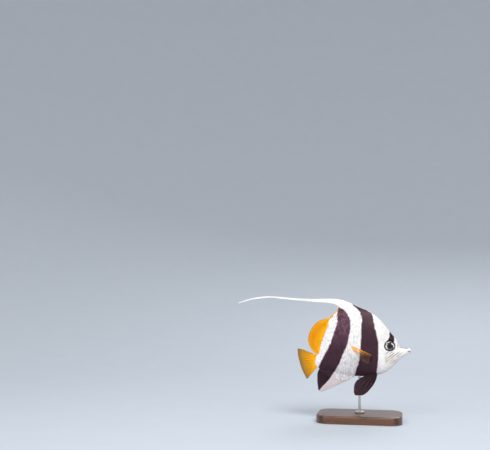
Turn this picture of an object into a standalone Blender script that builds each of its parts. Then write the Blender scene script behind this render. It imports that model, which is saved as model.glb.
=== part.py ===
"""A schooling bannerfish, life size, held on a plain display stand.

The fish looks along +X with its back up. Sizes are in millimetres in the fish's
own frame, whose zero lies LIFT above the floor, and leave this file in metres.
"""

import math

import bpy
import numpy as np

MM = 0.001
LIFT = 98.0
GAP = 0.3

# Outline of the body without its fins: (x, z) from the snout to the tail.
BACK = (
    (71.4, 3.0),
    (69.5, 4.4),
    (67.0, 4.1),
    (64.4, 4.25),
    (62.2, 4.7),
    (58.2, 5.4),
    (55.6, 8.6),
    (52.6, 16.0),
    (45.6, 24.2),
    (37.0, 35.4),
    (28.3, 44.9),
    (18.4, 52.8),
    (8.0, 55.4),
    (-3.0, 55.8),
    (-15.5, 52.7),
    (-27.6, 43.1),
    (-38.9, 26.9),
    (-48.1, 10.6),
    (-54.4, -1.4),
    (-62.0, -7.4),
)
BELLY = (
    (71.4, -2.4),
    (69.3, -3.5),
    (62.9, -6.6),
    (55.1, -13.0),
    (48.8, -19.5),
    (42.4, -25.6),
    (36.0, -29.5),
    (30.4, -32.2),
    (23.3, -33.9),
    (12.7, -34.9),
    (0.0, -35.7),
    (-12.7, -35.8),
    (-25.4, -33.9),
    (-38.2, -30.2),
    (-47.3, -27.3),
    (-55.1, -25.7),
    (-62.0, -24.7),
)
# Half of the body's width at its widest height.
WIDTH = (
    (72.0, 2.0),
    (68.0, 2.6),
    (63.0, 3.2),
    (58.0, 4.1),
    (52.0, 5.8),
    (44.0, 8.1),
    (35.0, 10.0),
    (27.0, 11.2),
    (15.0, 12.0),
    (2.0, 12.2),
    (-13.0, 11.4),
    (-27.0, 9.6),
    (-38.0, 7.4),
    (-48.0, 5.2),
    (-56.0, 3.3),
    (-62.0, 2.3),
)
WIDEST_SHARE = -0.14
# Half thickness of the back's and the belly's edge, thick where a fin stands on it.
BACK_EDGE = (
    (72.0, 0.3),
    (24.0, 0.3),
    (15.0, 1.5),
    (-3.0, 1.7),
    (-40.0, 1.5),
    (-57.0, 1.1),
    (-62.0, 0.9),
)
BELLY_EDGE = ((72.0, 0.3), (-3.0, 0.4), (-11.0, 1.5), (-40.0, 1.4), (-56.0, 1.1), (-62.0, 0.9))
# How blunt the section is above and under its widest height.
BACK_BLUNT = ((72.0, 0.5), (60.0, 0.5), (48.0, 0.62), (30.0, 0.74), (10.0, 0.92), (-62.0, 0.86))
BELLY_BLUNT = (
    (72.0, 0.5),
    (55.0, 0.56),
    (20.0, 0.62),
    (4.0, 0.7),
    (-10.0, 0.96),
    (-24.0, 1.12),
    (-44.0, 1.05),
    (-62.0, 0.8),
)

# Rear edge of the gill cover and of the head: (height share, x), from throat to nape.
GILL_EDGE = (
    (-1.0, 38.0),
    (-0.88, 33.6),
    (-0.7, 28.6),
    (-0.45, 24.6),
    (-0.22, 23.2),
    (-0.05, 24.0),
    (0.12, 26.4),
    (0.3, 26.8),
    (0.6, 24.2),
    (1.0, 20.2),
)
GILL_STEP = 0.5
CHEEK_LINE = ((30.6, 11.0), (29.8, 1.0), (31.2, -8.0), (35.0, -14.0), (41.0, -17.4), (48.0, -18.2))
HEAD_STRAIGHT = 47.0
TRUNK_STRAIGHT = 8.0
TRUNK_END = -50.0
STALK_END = -60.6
FLANK_POINTS = 17

EYE_CENTRE = (43.1, 7.4)
EYE_RADIUS = 7.1
EYE_DOME = 1.7
EYE_DEPTH = 4.8
ORBIT_RISE = 0.5

MOUTH_CORNER = (66.6, -0.6)
MOUTH_FRONT = (73.0, 0.8)
MOUTH_GAPE = 1.8
NOSTRILS = ((53.6, 8.0, 0.62), (55.2, 5.6, 0.5))

# Dorsal fin: margins of its three spine groups and of its soft part.
DORSAL_START = 18.0
SEAM_BANNER = ((-4.6, 55.8), (-8.7, 65.3))
SEAM_REAR = ((-16.2, 52.4), (-28.3, 61.6))
SEAM_SOFT = ((-39.2, 26.5), (-45.9, 44.6))
FRONT_TIPS = ((16.4, 54.5), (9.6, 57.4), (2.0, 60.4), (-8.9, 65.3))
REAR_TIPS = (
    (-28.6, 61.3),
    (-30.0, 58.9),
    (-31.4, 56.1),
    (-33.9, 53.3),
    (-37.5, 50.2),
    (-41.0, 47.6),
    (-45.6, 44.8),
)
SOFT_TIPS = (
    (-46.3, 44.4),
    (-55.8, 41.3),
    (-62.9, 35.6),
    (-68.1, 28.3),
    (-71.5, 19.8),
    (-72.1, 13.4),
    (-70.0, 5.7),
    (-66.0, -1.2),
    (-61.4, -5.4),
)
SOFT_RAYS = 24
SOFT_END = -56.6

# The fourth spine carries the banner: its upper and its lower edge, from root to tip.
BANNER_TOP = (
    (-4.9, 56.1),
    (-6.6, 60.1),
    (-8.2, 63.9),
    (-9.0, 65.3),
    (-14.1, 67.6),
    (-25.4, 71.3),
    (-41.0, 72.7),
    (-62.2, 72.3),
    (-86.2, 73.0),
    (-106.0, 74.5),
    (-128.0, 76.0),
    (-150.5, 73.7),
    (-174.6, 66.9),
)
BANNER_LOW = (
    (-15.9, 52.7),
    (-22.0, 57.3),
    (-28.2, 61.9),
    (-32.8, 64.6),
    (-41.0, 66.7),
    (-62.2, 68.1),
    (-86.2, 70.1),
    (-106.0, 72.0),
    (-128.0, 73.8),
    (-150.5, 71.7),
    (-174.2, 65.6),
)
BANNER_SPLIT = 0.36
BANNER_SWAY = 4.0

ANAL_START = -7.0
ANAL_END = -55.6
ANAL_SEAM = ((-17.5, -35.7), (-34.6, -51.0))
ANAL_SPINE_TIPS = ((-8.2, -37.6), (-13.4, -40.6), (-24.2, -46.2), (-34.4, -51.6))
ANAL_TIPS = (
    (-35.2, -51.4),
    (-46.6, -56.3),
    (-54.0, -58.8),
    (-57.1, -57.7),
    (-58.6, -52.0),
    (-59.4, -43.0),
    (-59.4, -35.6),
    (-58.4, -31.0),
)
ANAL_RAYS = 18

TAIL_TOP = (-60.9, -7.2)
TAIL_LOW = (-60.9, -24.4)
TAIL_TIPS = (
    (-72.0, -2.6),
    (-82.0, 0.8),
    (-87.6, 1.6),
    (-87.2, -6.0),
    (-85.8, -13.0),
    (-83.4, -21.9),
    (-80.8, -29.0),
    (-77.6, -35.6),
    (-74.2, -41.2),
    (-68.6, -35.2),
)
TAIL_RAYS = 19

PECTORAL_ROOT = ((20.0, -6.2), (17.4, -13.2))
PECTORAL_RAYS = 15
# Share from the first ray to the last, length, and the way it points.
PECTORAL_FAN = (
    (0.0, 33.5, (-0.80, 0.42, 0.42)),
    (0.07, 36.5, (-0.80, 0.44, 0.39)),
    (0.22, 32.5, (-0.75, 0.56, 0.27)),
    (0.45, 26.0, (-0.67, 0.71, 0.09)),
    (0.72, 19.5, (-0.54, 0.83, -0.12)),
    (1.0, 13.0, (-0.34, 0.88, -0.32)),
)

PELVIC_ROOT = (25.0, 12.6)
PELVIC_ROOT_SHARE = -0.965
PELVIC_TIPS = (
    (15.6, -52.4),
    (10.4, -58.0),
    (3.2, -61.6),
    (-4.9, -61.8),
    (-7.4, -57.0),
    (-7.2, -49.8),
    (-4.6, -43.2),
    (1.2, -38.6),
)
PELVIC_RAYS = 7
PELVIC_SPLAY = 0.2
PELVIC_BOW = 2.4

BASE_LENGTH = 118.0
BASE_DEPTH = 72.0
BASE_HEIGHT = 11.0
BASE_CORNER = 18.0
ROD_RADIUS = 1.75
FLANGE_RADIUS = 7.0
FLANGE_HEIGHT = 2.4

WHITE = (0.85, 0.84, 0.8)
DARK = (0.06, 0.035, 0.045)
YELLOW = (0.9, 0.42, 0.01)


def slopes(xs, ys):
    """Slopes that keep a cubic through the points free of overshoot."""
    step = np.diff(xs)
    rise = np.diff(ys) / step
    out = np.zeros(len(xs))
    same = rise[:-1] * rise[1:] > 0
    first = 2 * step[1:] + step[:-1]
    second = step[1:] + 2 * step[:-1]
    safe_a = np.where(same, rise[:-1], 1)
    safe_b = np.where(same, rise[1:], 1)
    out[1:-1] = np.where(same, (first + second) / (first / safe_a + second / safe_b), 0)
    out[0] = rise[0]
    out[-1] = rise[-1]
    return out


def curve(points):
    """Smooth function through (x, y) points."""
    table = np.array(points, float)
    table = table[np.argsort(table[:, 0])]
    xs = table[:, 0]
    ys = table[:, 1]
    lean = slopes(xs, ys)

    def value(x):
        x = np.clip(np.asarray(x, float), xs[0], xs[-1])
        i = np.clip(np.searchsorted(xs, x) - 1, 0, len(xs) - 2)
        step = xs[i + 1] - xs[i]
        t = (x - xs[i]) / step
        a = (1 + 2 * t) * (1 - t) ** 2 * ys[i] + t * (1 - t) ** 2 * step * lean[i]
        b = t * t * (3 - 2 * t) * ys[i + 1] + t * t * (t - 1) * step * lean[i + 1]
        return a + b

    return value


def path(points):
    """Smooth line through points, read by the share of its length."""
    points = np.array(points, float)
    far = np.concatenate([[0], np.cumsum(np.linalg.norm(np.diff(points, axis=0), axis=1))])
    parts = [curve(np.column_stack([far / far[-1], points[:, k]])) for k in range(points.shape[1])]
    return lambda t: np.stack([part(t) for part in parts], axis=-1)


back = curve(BACK)
belly = curve(BELLY)
width = curve(WIDTH)
back_edge = curve(BACK_EDGE)
belly_edge = curve(BELLY_EDGE)
back_blunt = curve(BACK_BLUNT)
belly_blunt = curve(BELLY_BLUNT)
gill_edge = curve(GILL_EDGE)


def soft_step(t):
    t = np.clip(t, 0, 1)
    return t * t * (3 - 2 * t)


def plain_half_width(x, share):
    """Half width of the body at x, and at a height share from -1 at the belly to 1 at the back."""
    up = np.clip((share - WIDEST_SHARE) / (1 - WIDEST_SHARE), 0, 1)
    down = np.clip((WIDEST_SHARE - share) / (1 + WIDEST_SHARE), 0, 1)
    above = back_edge(x) + (width(x) - back_edge(x)) * (1 - up**2) ** back_blunt(x)
    under = belly_edge(x) + (width(x) - belly_edge(x)) * (1 - down**2.2) ** belly_blunt(x)
    return np.where(share >= WIDEST_SHARE, above, under)


def height_at(x, share):
    return (back(x) + belly(x)) / 2 + share * (back(x) - belly(x)) / 2


def share_at(x, z):
    return (2 * z - back(x) - belly(x)) / (back(x) - belly(x))


def distance_to(line, x, z):
    """Distance in the side view from points to a line of (x, z) points."""
    best = np.full(np.shape(x), 1e9)
    for (ax, az), (bx, bz) in zip(line[:-1], line[1:]):
        long = (bx - ax) ** 2 + (bz - az) ** 2
        t = np.clip(((x - ax) * (bx - ax) + (z - az) * (bz - az)) / long, 0, 1)
        best = np.minimum(best, np.hypot(x - ax - t * (bx - ax), z - az - t * (bz - az)))
    return best


def head_relief(x, share):
    """Rise of the orbit, the gill cover's edge and the lips, and the crease of the cheek."""
    z = height_at(x, share)
    from_eye = np.hypot(x - EYE_CENTRE[0], z - EYE_CENTRE[1])
    rise = ORBIT_RISE * np.exp(-(((from_eye - 8.3) / 1.5) ** 2))
    behind = x - gill_edge(share)
    slit = soft_step((0.2 - share) / 0.15) * soft_step((share + 1.0) / 0.12)
    rise = rise + GILL_STEP * slit * np.exp(-np.clip(behind, 0, 99) / 5.0)
    rise = rise - 0.4 * np.exp(-((distance_to(CHEEK_LINE, x, z) / 1.1) ** 2))
    lip = distance_to((MOUTH_CORNER, MOUTH_FRONT), x, z)
    rise = rise + 0.4 * np.exp(-(((lip - 1.0) / 0.75) ** 2)) * soft_step((x - 64.5) / 2.5)
    return rise * soft_step((1 - np.abs(share)) / 0.16)


def half_width(x, share, relief):
    wide = plain_half_width(x, share)
    return wide + head_relief(x, share) if relief else wide


def new_material(name, colour, rough, metal=0.0):
    material = bpy.data.materials.new(name)
    material.use_nodes = True
    shader = material.node_tree.nodes["Principled BSDF"]
    shader.inputs["Base Color"].default_value = (*colour, 1.0)
    shader.inputs["Roughness"].default_value = rough
    shader.inputs["Metallic"].default_value = metal
    return material


def new_object(name, points, faces, colour, rough=0.5, metal=0.0, sharp=50.0):
    """A named object from points in the fish's frame and triangles, turned to face out."""
    points = np.asarray(points, float)
    faces = np.asarray(faces, int)
    corners = points[faces]
    if np.einsum("ij,ij->i", corners[:, 0], np.cross(corners[:, 1], corners[:, 2])).sum() < 0:
        faces = faces[:, ::-1]
    mesh = bpy.data.meshes.new(name)
    placed = (points + (0, 0, LIFT)) * MM
    mesh.from_pydata(placed.tolist(), [], faces.tolist())
    mesh.validate()
    mesh.shade_smooth()
    mesh.set_sharp_from_angle(angle=math.radians(sharp))
    mesh.materials.append(new_material(name, colour, rough, metal))
    obj = bpy.data.objects.new(name, mesh)
    bpy.context.collection.objects.link(obj)
    return obj


def two_sheets(name, right, left, colour, rough=0.5, sharp=50.0):
    """A closed body between two sheets with the same grid, their rims joined."""
    rows, columns = right.shape[:2]
    index = np.arange(rows * columns).reshape(rows, columns)
    far = index + rows * columns
    faces = []
    for i in range(rows - 1):
        for j in range(columns - 1):
            a, b = index[i, j], index[i, j + 1]
            c, d = index[i + 1, j + 1], index[i + 1, j]
            faces += [(a, b, c), (a, c, d)]
            a, b = far[i, j], far[i, j + 1]
            c, d = far[i + 1, j + 1], far[i + 1, j]
            faces += [(a, c, b), (a, d, c)]
    rim = [index[0, j] for j in range(columns)]
    rim += [index[i, columns - 1] for i in range(1, rows)]
    rim += [index[rows - 1, j] for j in range(columns - 2, -1, -1)]
    rim += [index[i, 0] for i in range(rows - 2, 0, -1)]
    other = rows * columns
    for a, b in zip(rim, rim[1:] + rim[:1]):
        faces += [(a, b + other, b), (a, a + other, b + other)]
    points = np.concatenate([right.reshape(-1, 3), left.reshape(-1, 3)])
    return new_object(name, points, faces, colour, rough, 0.0, sharp)


def body_piece(name, x, share, colour, relief=False, closing=()):
    """A length of the body from rings of stations x, each with its height shares."""
    z = height_at(x, share)
    y = half_width(x, share, relief)
    rings = [np.stack([x, y, z], axis=-1)]
    last = rings[0][-1]
    middle = (last[0] + last[-1]) / 2
    for ahead, scale in closing:
        ring = last.copy()
        ring[:, 1] *= scale
        ring[:, 2] = middle[2] + (last[:, 2] - middle[2]) * scale
        ring[:, 0] += ahead
        rings.append(ring[None])
    left = np.concatenate(rings)
    right = left * (1, -1, 1)
    return two_sheets(name, right, left, colour, 0.45)


def shares(count):
    return np.sin(np.linspace(math.pi / 2, -math.pi / 2, count))


def head_grid():
    share = shares(FLANK_POINTS)
    edge = gill_edge(share) + GAP / 2
    rings = [edge + (HEAD_STRAIGHT - edge) * t for t in np.linspace(0, 1, 12)[:-1]]
    ahead = HEAD_STRAIGHT + (71.4 - HEAD_STRAIGHT) * np.linspace(0, 1, 22) ** 0.9
    rings += [np.full(len(share), x) for x in ahead]
    x = np.array(rings)
    return x, np.broadcast_to(share, x.shape)


def trunk_grid():
    share = shares(FLANK_POINTS)
    edge = gill_edge(share) - GAP / 2
    rings = [edge + (TRUNK_STRAIGHT - edge) * t for t in np.linspace(0, 1, 8)[:-1]]
    rings += [np.full(len(share), x) for x in np.linspace(TRUNK_STRAIGHT, TRUNK_END, 21)]
    x = np.array(rings)
    return x, np.broadcast_to(share, x.shape)


def stalk_grid():
    share = shares(12)
    stations = np.linspace(TRUNK_END - GAP, STALK_END, 6)
    x = np.repeat(stations[:, None], len(share), axis=1)
    return x, np.broadcast_to(share, x.shape)


def cutter(name, points, faces):
    obj = new_object(name, points, faces, (0.5, 0.5, 0.5))
    obj.hide_render = True
    obj.display_type = "WIRE"
    return obj


def cut(obj, tool):
    step = obj.modifiers.new("cut", "BOOLEAN")
    step.operation = "DIFFERENCE"
    step.solver = "EXACT"
    step.object = tool
    graph = bpy.context.evaluated_depsgraph_get()
    mesh = bpy.data.meshes.new_from_object(obj.evaluated_get(graph))
    obj.modifiers.remove(step)
    old = obj.data
    obj.data = mesh
    bpy.data.meshes.remove(old)
    bpy.data.objects.remove(tool)


def turned(profile, origin, axis, segments):
    """Points and triangles of a profile of (along, radius), turned about an axis."""
    axis = np.array(axis, float) / np.linalg.norm(axis)
    side = np.cross(axis, (0, 0, 1) if abs(axis[2]) < 0.9 else (1, 0, 0))
    side /= np.linalg.norm(side)
    up = np.cross(axis, side)
    origin = np.array(origin, float)
    angles = np.arange(segments) * 2 * math.pi / segments
    points = []
    for along, radius in profile:
        for a in angles:
            spoke = math.cos(a) * side + math.sin(a) * up
            points.append(origin + along * axis + radius * spoke)
    rings = len(profile)
    first = len(points)
    points.append(origin + profile[0][0] * axis)
    points.append(origin + profile[-1][0] * axis)
    faces = []
    for k in range(segments):
        n = (k + 1) % segments
        faces.append((first, n, k))
        faces.append((first + 1, (rings - 1) * segments + k, (rings - 1) * segments + n))
        for i in range(rings - 1):
            a, b = i * segments + k, i * segments + n
            c, d = b + segments, a + segments
            faces += [(a, b, c), (a, c, d)]
    return points, faces


def surface_frame(x, z, side):
    """Point, outward way and the way along +X on the flank at (x, z)."""
    def at(px, pz):
        share = share_at(px, pz)
        return np.array([px, side * float(plain_half_width(px, share)), pz])

    here = at(x, z)
    ahead = at(x + 0.5, z) - at(x - 0.5, z)
    above = at(x, z + 0.5) - at(x, z - 0.5)
    out = np.cross(ahead, above)
    out /= np.linalg.norm(out)
    if out[1] * side < 0:
        out = -out
    return here, out, ahead / np.linalg.norm(ahead)


def eye_profile(grow):
    """(along, radius) from the back of the eye to the top of its dome."""
    radius = EYE_RADIUS + grow
    out = []
    for a in np.linspace(80, 8, 6):
        out.append((-(EYE_DEPTH + grow) * math.sin(math.radians(a)), radius * math.cos(math.radians(a))))
    for a in np.linspace(8, 78, 6):
        out.append(((EYE_DOME + grow) * math.sin(math.radians(a)), radius * math.cos(math.radians(a))))
    return out


def socket_profile():
    out = [p for p in eye_profile(GAP) if p[0] < 0]
    out.append((6.0, EYE_RADIUS + GAP + 0.5))
    return out


def mouth_cutter():
    """A thin wedge that opens forward from the corner of the mouth."""
    cx, cz = MOUTH_CORNER
    fx, fz = MOUTH_FRONT
    rows = ((cx, cz, 0.12), ((cx + fx) / 2, (cz + fz) / 2 + 0.25, 0.42), (fx, fz, MOUTH_GAPE / 2))
    points = []
    for x, z, half in rows:
        for y in (-5, 5):
            points += [(x, y, z - half), (x, y, z + half)]
    faces = [(0, 1, 3), (0, 3, 2)]
    for r in range(2):
        a = 4 * r
        b = a + 4
        faces += [(a, a + 2, b + 2), (a, b + 2, b), (a + 1, b + 1, b + 3), (a + 1, b + 3, a + 3)]
        faces += [(a, b, b + 1), (a, b + 1, a + 1)]
        faces += [(a + 2, a + 3, b + 3), (a + 2, b + 3, b + 2)]
    faces += [(8, 11, 9), (8, 10, 11)]
    return cutter("mouth_cutter", points, faces)


def raised(line, above):
    """Root line of a fin: the body's edge lifted by the gap, read by share of its length."""
    stations = np.linspace(line[0], line[1], 25)
    edge = back if above else belly
    lean = (edge(stations + 0.4) - edge(stations - 0.4)) / 0.8
    across = np.column_stack([-lean, np.ones(25)]) / np.hypot(lean, 1)[:, None]
    across *= 1 if above else -1
    return path(np.column_stack([stations, edge(stations)]) + GAP * across)


def flat(line):
    """Turns a line of (x, z) into one of (x, y, z) in the fish's middle plane."""
    def at(t):
        p = line(t)
        return np.stack([p[..., 0], np.zeros(np.shape(t)), p[..., 1]], axis=-1)

    return at


def ray_columns(count, edge, soft):
    """Shares of the columns across a fin and how much each carries a ray."""
    if soft:
        rays = (np.arange(count) + 0.5) / count
        pitch = 1 / count
        t = np.concatenate([[0.0], rays, rays[:-1] + pitch / 3, rays[:-1] + 2 * pitch / 3, [1.0]])
        carry = np.concatenate([[0.0], np.ones(count), np.zeros(2 * count - 2), [0.0]])
    else:
        rays = (np.arange(count) + edge) / (count - 1 + 2 * edge)
        pitch = 1 / (count - 1 + 2 * edge)
        near = 0.2 * pitch
        t = np.concatenate([[0.0], rays - near, rays, rays + near, rays[:-1] + pitch / 2, [1.0]])
        carry = np.concatenate([[0.0], np.zeros(count), np.ones(count), np.zeros(count)])
        carry = np.concatenate([carry, -np.ones(count - 1), [0.0]])
    order = np.argsort(t)
    return t[order], carry[order]


def fin(name, root, tip, columns, rows, thick, ridge, colour, notch=0.0, bow=None, facing=None):
    """A thin closed fin between two sheets.

    thick is the half thickness at the root, near it and at the margin; ridge is how
    far a ray stands out at the root and at the margin.
    """
    t, carry = columns
    r = np.linspace(0, 1, rows) ** 0.85
    ends = tip(t)
    start = root(t)
    dip = notch * (carry < 0)
    ends = ends + (start - ends) * dip[:, None]
    middle = start[:, None] * (1 - r)[None, :, None] + ends[:, None] * r[None, :, None]
    if bow is not None:
        middle = middle + bow(t)[:, None] * (4 * r * (1 - r))[None, :, None]
    fade = np.interp(r, (0, 0.3, 1), thick)
    half = fade[None] + np.clip(carry, 0, 1)[:, None] * np.interp(r, (0, 1), ridge)[None]
    if facing is None:
        way = np.zeros(middle.shape)
        way[..., 1] = 1
    else:
        way = facing(middle)
    left = middle + half[..., None] * way
    right = middle - half[..., None] * way
    return two_sheets(name, right, left, colour, 0.45, 35.0)


def shifted(line, away):
    """The line of two points moved sideways, to its left as it runs."""
    a, b = np.array(line, float)
    along = (b - a) / np.linalg.norm(b - a)
    across = np.array([-along[1], along[0]])
    return a + across * away, b + across * away


def build_banner(name, begin, end, rows):
    """The fourth spine with its membrane, a length of it between two shares."""
    top = path(BANNER_TOP)
    low = path(BANNER_LOW)
    t = np.linspace(begin, end, rows)
    upper = top(t)
    lower = low(t)
    across = np.array((0.0, 0.16, 0.32, 0.66, 1.0))
    body = upper[:, None] * (1 - across)[None, :, None] + lower[:, None] * across[None, :, None]
    if begin == 0:
        body[0] = raised((BANNER_TOP[0][0], BANNER_LOW[0][0]), True)(across)
    spine = np.interp(t, (0, 0.1, 0.4, 1), (1.5, 0.95, 0.6, 0.3))
    membrane = np.interp(t, (0, 0.07, 0.2, 1), (1.4, 0.55, 0.34, 0.26))
    edge = np.interp(t, (0, 0.1, 0.4, 1), (1.1, 0.45, 0.32, 0.25))
    half = np.stack([edge, spine, membrane, membrane, membrane * 0.95], axis=1)
    sway = -BANNER_SWAY * soft_step((-50 - body[..., 0]) / 120) * np.cos(body[..., 0] / 60)
    middle = np.stack([body[..., 0], sway, body[..., 1]], axis=-1)
    way = np.array((0.0, 1.0, 0.0))
    right = middle - half[..., None] * way
    left = middle + half[..., None] * way
    return two_sheets(name, right, left, WHITE, 0.45, 35.0)


def pectoral(side):
    """A pectoral fin fanned out from the flank on one side."""
    (ax, az), (bx, bz) = PECTORAL_ROOT
    fan = np.array([(share, long, *way) for share, long, way in PECTORAL_FAN])
    length = curve(fan[:, :2])
    ways = [curve(fan[:, (0, k)]) for k in (2, 3, 4)]

    def root(t):
        spots = []
        for share in np.atleast_1d(t):
            here, out, _ = surface_frame(ax + (bx - ax) * share, az + (bz - az) * share, side)
            spots.append(here + out * (GAP + 0.12))
        return np.array(spots)

    def tip(t):
        way = np.stack([part(t) for part in ways], axis=-1)
        way = way / np.linalg.norm(way, axis=-1)[..., None]
        return root(t) + way * (1, side, 1) * length(t)[..., None]

    def bow(t):
        return np.stack([0 * t, side * (1.6 + 0 * t), 0 * t], axis=-1)

    _, _, along = surface_frame((ax + bx) / 2, (az + bz) / 2, side)

    def facing(middle):
        down = np.gradient(middle, axis=0)
        out = np.gradient(middle, axis=1)
        way = np.cross(down, out)
        way /= np.linalg.norm(way, axis=-1)[..., None]
        way *= np.sign((way * along).sum(axis=-1, keepdims=True))
        share = soft_step(np.linspace(0, 1, middle.shape[1]) / 0.3)[None, :, None]
        mixed = along * (1 - share) + way * share
        return mixed / np.linalg.norm(mixed, axis=-1)[..., None]

    name = "pectoral_fin_left" if side > 0 else "pectoral_fin_right"
    return fin(
        name,
        root,
        tip,
        ray_columns(PECTORAL_RAYS, 0, True),
        6,
        (0.75, 0.3, 0.25),
        (0.25, 0.06),
        YELLOW,
        bow=bow,
        facing=facing,
    )


def pelvic(side):
    """A pelvic fin hanging from one side of the belly's keel."""
    def root(t):
        x = PELVIC_ROOT[0] + (PELVIC_ROOT[1] - PELVIC_ROOT[0]) * np.asarray(t, float)
        y = plain_half_width(x, PELVIC_ROOT_SHARE) + 0.2
        z = height_at(x, PELVIC_ROOT_SHARE) - GAP - 0.75
        return np.stack([x, side * y, z], axis=-1)

    edge = path(PELVIC_TIPS)

    def tip(t):
        spot = edge(t)
        start = root(t)
        drop = start[..., 2] - spot[..., 1]
        return np.stack([spot[..., 0], start[..., 1] + side * PELVIC_SPLAY * drop, spot[..., 1]], axis=-1)

    def facing(middle):
        way = np.zeros(middle.shape)
        lean = soft_step(np.linspace(0, 1, middle.shape[1]) / 0.2)
        way[..., 1] = 1
        way[..., 2] = side * PELVIC_SPLAY * lean[None]
        return way / np.linalg.norm(way, axis=-1)[..., None]

    def bow(t):
        return np.stack([PELVIC_BOW * (1 - t) ** 1.5, 0 * t, 0 * t], axis=-1)

    name = "pelvic_fin_left" if side > 0 else "pelvic_fin_right"
    return fin(
        name,
        root,
        tip,
        ray_columns(PELVIC_RAYS, 0, True),
        7,
        (0.8, 0.42, 0.26),
        (0.35, 0.1),
        DARK,
        bow=bow,
        facing=facing,
    )


def rounded_plate(length, depth, corner, segments):
    """Outline of a plate with round corners, as unit ways out and corner centres."""
    spots = []
    for sx, sy, start in ((1, 1, 0), (-1, 1, 90), (-1, -1, 180), (1, -1, 270)):
        for k in range(segments + 1):
            a = math.radians(start + 90 * k / segments)
            centre = (sx * (length / 2 - corner), sy * (depth / 2 - corner))
            spots.append((centre, (math.cos(a), math.sin(a))))
    return spots


def build_stand():
    spots = rounded_plate(BASE_LENGTH, BASE_DEPTH, BASE_CORNER, 8)
    levels = ((0.0, 0.0), (BASE_HEIGHT - 2.2, 0.0), (BASE_HEIGHT - 0.7, 0.6), (BASE_HEIGHT, 2.0))
    points = []
    for z, inset in levels:
        for (cx, cy), (wx, wy) in spots:
            reach = BASE_CORNER - inset
            points.append((cx + wx * reach, cy + wy * reach, z - LIFT))
    count = len(spots)
    faces = []
    for k in range(count):
        n = (k + 1) % count
        for i in range(len(levels) - 1):
            a, b = i * count + k, i * count + n
            faces += [(a, b, b + count), (a, b + count, a + count)]
    top = (len(levels) - 1) * count
    for k in range(1, count - 1):
        faces.append((0, k + 1, k))
        faces.append((top, top + k, top + k + 1))
    new_object("stand_base", points, faces, (0.09, 0.045, 0.025), 0.4)
    foot = BASE_HEIGHT + GAP - LIFT
    end = float(belly(0.0)) - GAP
    profile = (
        (foot, 0.4 * FLANGE_RADIUS),
        (foot, FLANGE_RADIUS - 0.3),
        (foot + 0.3, FLANGE_RADIUS),
        (foot + FLANGE_HEIGHT - 0.6, FLANGE_RADIUS),
        (foot + FLANGE_HEIGHT, FLANGE_RADIUS - 0.8),
        (foot + FLANGE_HEIGHT + 0.2, ROD_RADIUS + 1.2),
        (foot + FLANGE_HEIGHT + 1.4, ROD_RADIUS),
        (end - 0.3, ROD_RADIUS),
        (end, ROD_RADIUS - 0.3),
    )
    points, faces = turned(profile, (0, 0, 0), (0, 0, 1), 24)
    new_object("stand_rod", points, faces, (0.55, 0.5, 0.42), 0.3, 1.0)


def build_head():
    x, share = head_grid()
    closing = ((0.45, 0.88), (0.75, 0.66), (0.95, 0.34))
    head = body_piece("head", x, share, WHITE, True, closing)
    for side in (1, -1):
        spot, out, _ = surface_frame(EYE_CENTRE[0], EYE_CENTRE[1], side)
        cut(head, cutter("socket_cutter", *turned(socket_profile(), spot, out, 32)))
        name = "eye_left" if side > 0 else "eye_right"
        new_object(name, *turned(eye_profile(0.0), spot, out, 26), (0.03, 0.02, 0.02), 0.1)
        for nx, nz, radius in NOSTRILS:
            spot, out, _ = surface_frame(nx, nz, side)
            hole = ((-0.9, radius * 0.7), (0.1, radius), (2.0, radius))
            cut(head, cutter("nostril_cutter", *turned(hole, spot, out, 10)))
    cut(head, mouth_cutter())


def median_fin(name, root, tips, columns, rows, thick, ridge, colour, notch=0.0):
    """A fin that stands in the fish's middle plane."""
    return fin(name, flat(root), flat(tips), columns, rows, thick, ridge, colour, notch)


def build_dorsal_fin():
    half = GAP / 2
    a, b = shifted(SEAM_BANNER, -half)
    root = raised((DORSAL_START, float(a[0]) + 0.1), True)
    tips = path(list(FRONT_TIPS[:-1]) + [tuple(b)])
    spines = ray_columns(3, 0.55, False)
    median_fin("dorsal_fin_front", root, tips, spines, 6, (1.3, 0.6, 0.3), (0.35, 0.12), DARK, 0.06)
    build_banner("banner", 0.0, BANNER_SPLIT, 16)
    build_banner("banner_filament", BANNER_SPLIT + 0.0016, 1.0, 22)
    a, b = shifted(SEAM_REAR, half)
    c, d = shifted(SEAM_SOFT, -half)
    root = raised((float(a[0]), float(c[0])), True)
    tips = path([tuple(b), *REAR_TIPS[1:-1], tuple(d)])
    spines = ray_columns(8, 0.35, False)
    median_fin("dorsal_fin_rear", root, tips, spines, 6, (1.4, 0.65, 0.28), (0.35, 0.12), DARK, 0.07)
    a, b = shifted(SEAM_SOFT, half)
    root = raised((float(a[0]), SOFT_END), True)
    tips = path([tuple(b), *SOFT_TIPS[1:]])
    rays = ray_columns(SOFT_RAYS, 0, True)
    median_fin("dorsal_fin_soft", root, tips, rays, 6, (1.2, 0.55, 0.26), (0.2, 0.07), YELLOW)


def build_anal_fin():
    half = GAP / 2
    a, b = shifted(ANAL_SEAM, half)
    root = raised((ANAL_START, float(a[0])), False)
    tips = path([*ANAL_SPINE_TIPS[:-1], tuple(b)])
    spines = ray_columns(3, 0.55, False)
    median_fin("anal_fin_spiny", root, tips, spines, 6, (1.3, 0.65, 0.3), (0.4, 0.15), WHITE, 0.08)
    a, b = shifted(ANAL_SEAM, -half)
    root = raised((float(a[0]), ANAL_END), False)
    tips = path([tuple(b), *ANAL_TIPS[1:]])
    rays = ray_columns(ANAL_RAYS, 0, True)
    median_fin("anal_fin_soft", root, tips, rays, 7, (1.2, 0.6, 0.26), (0.2, 0.07), DARK)


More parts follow.
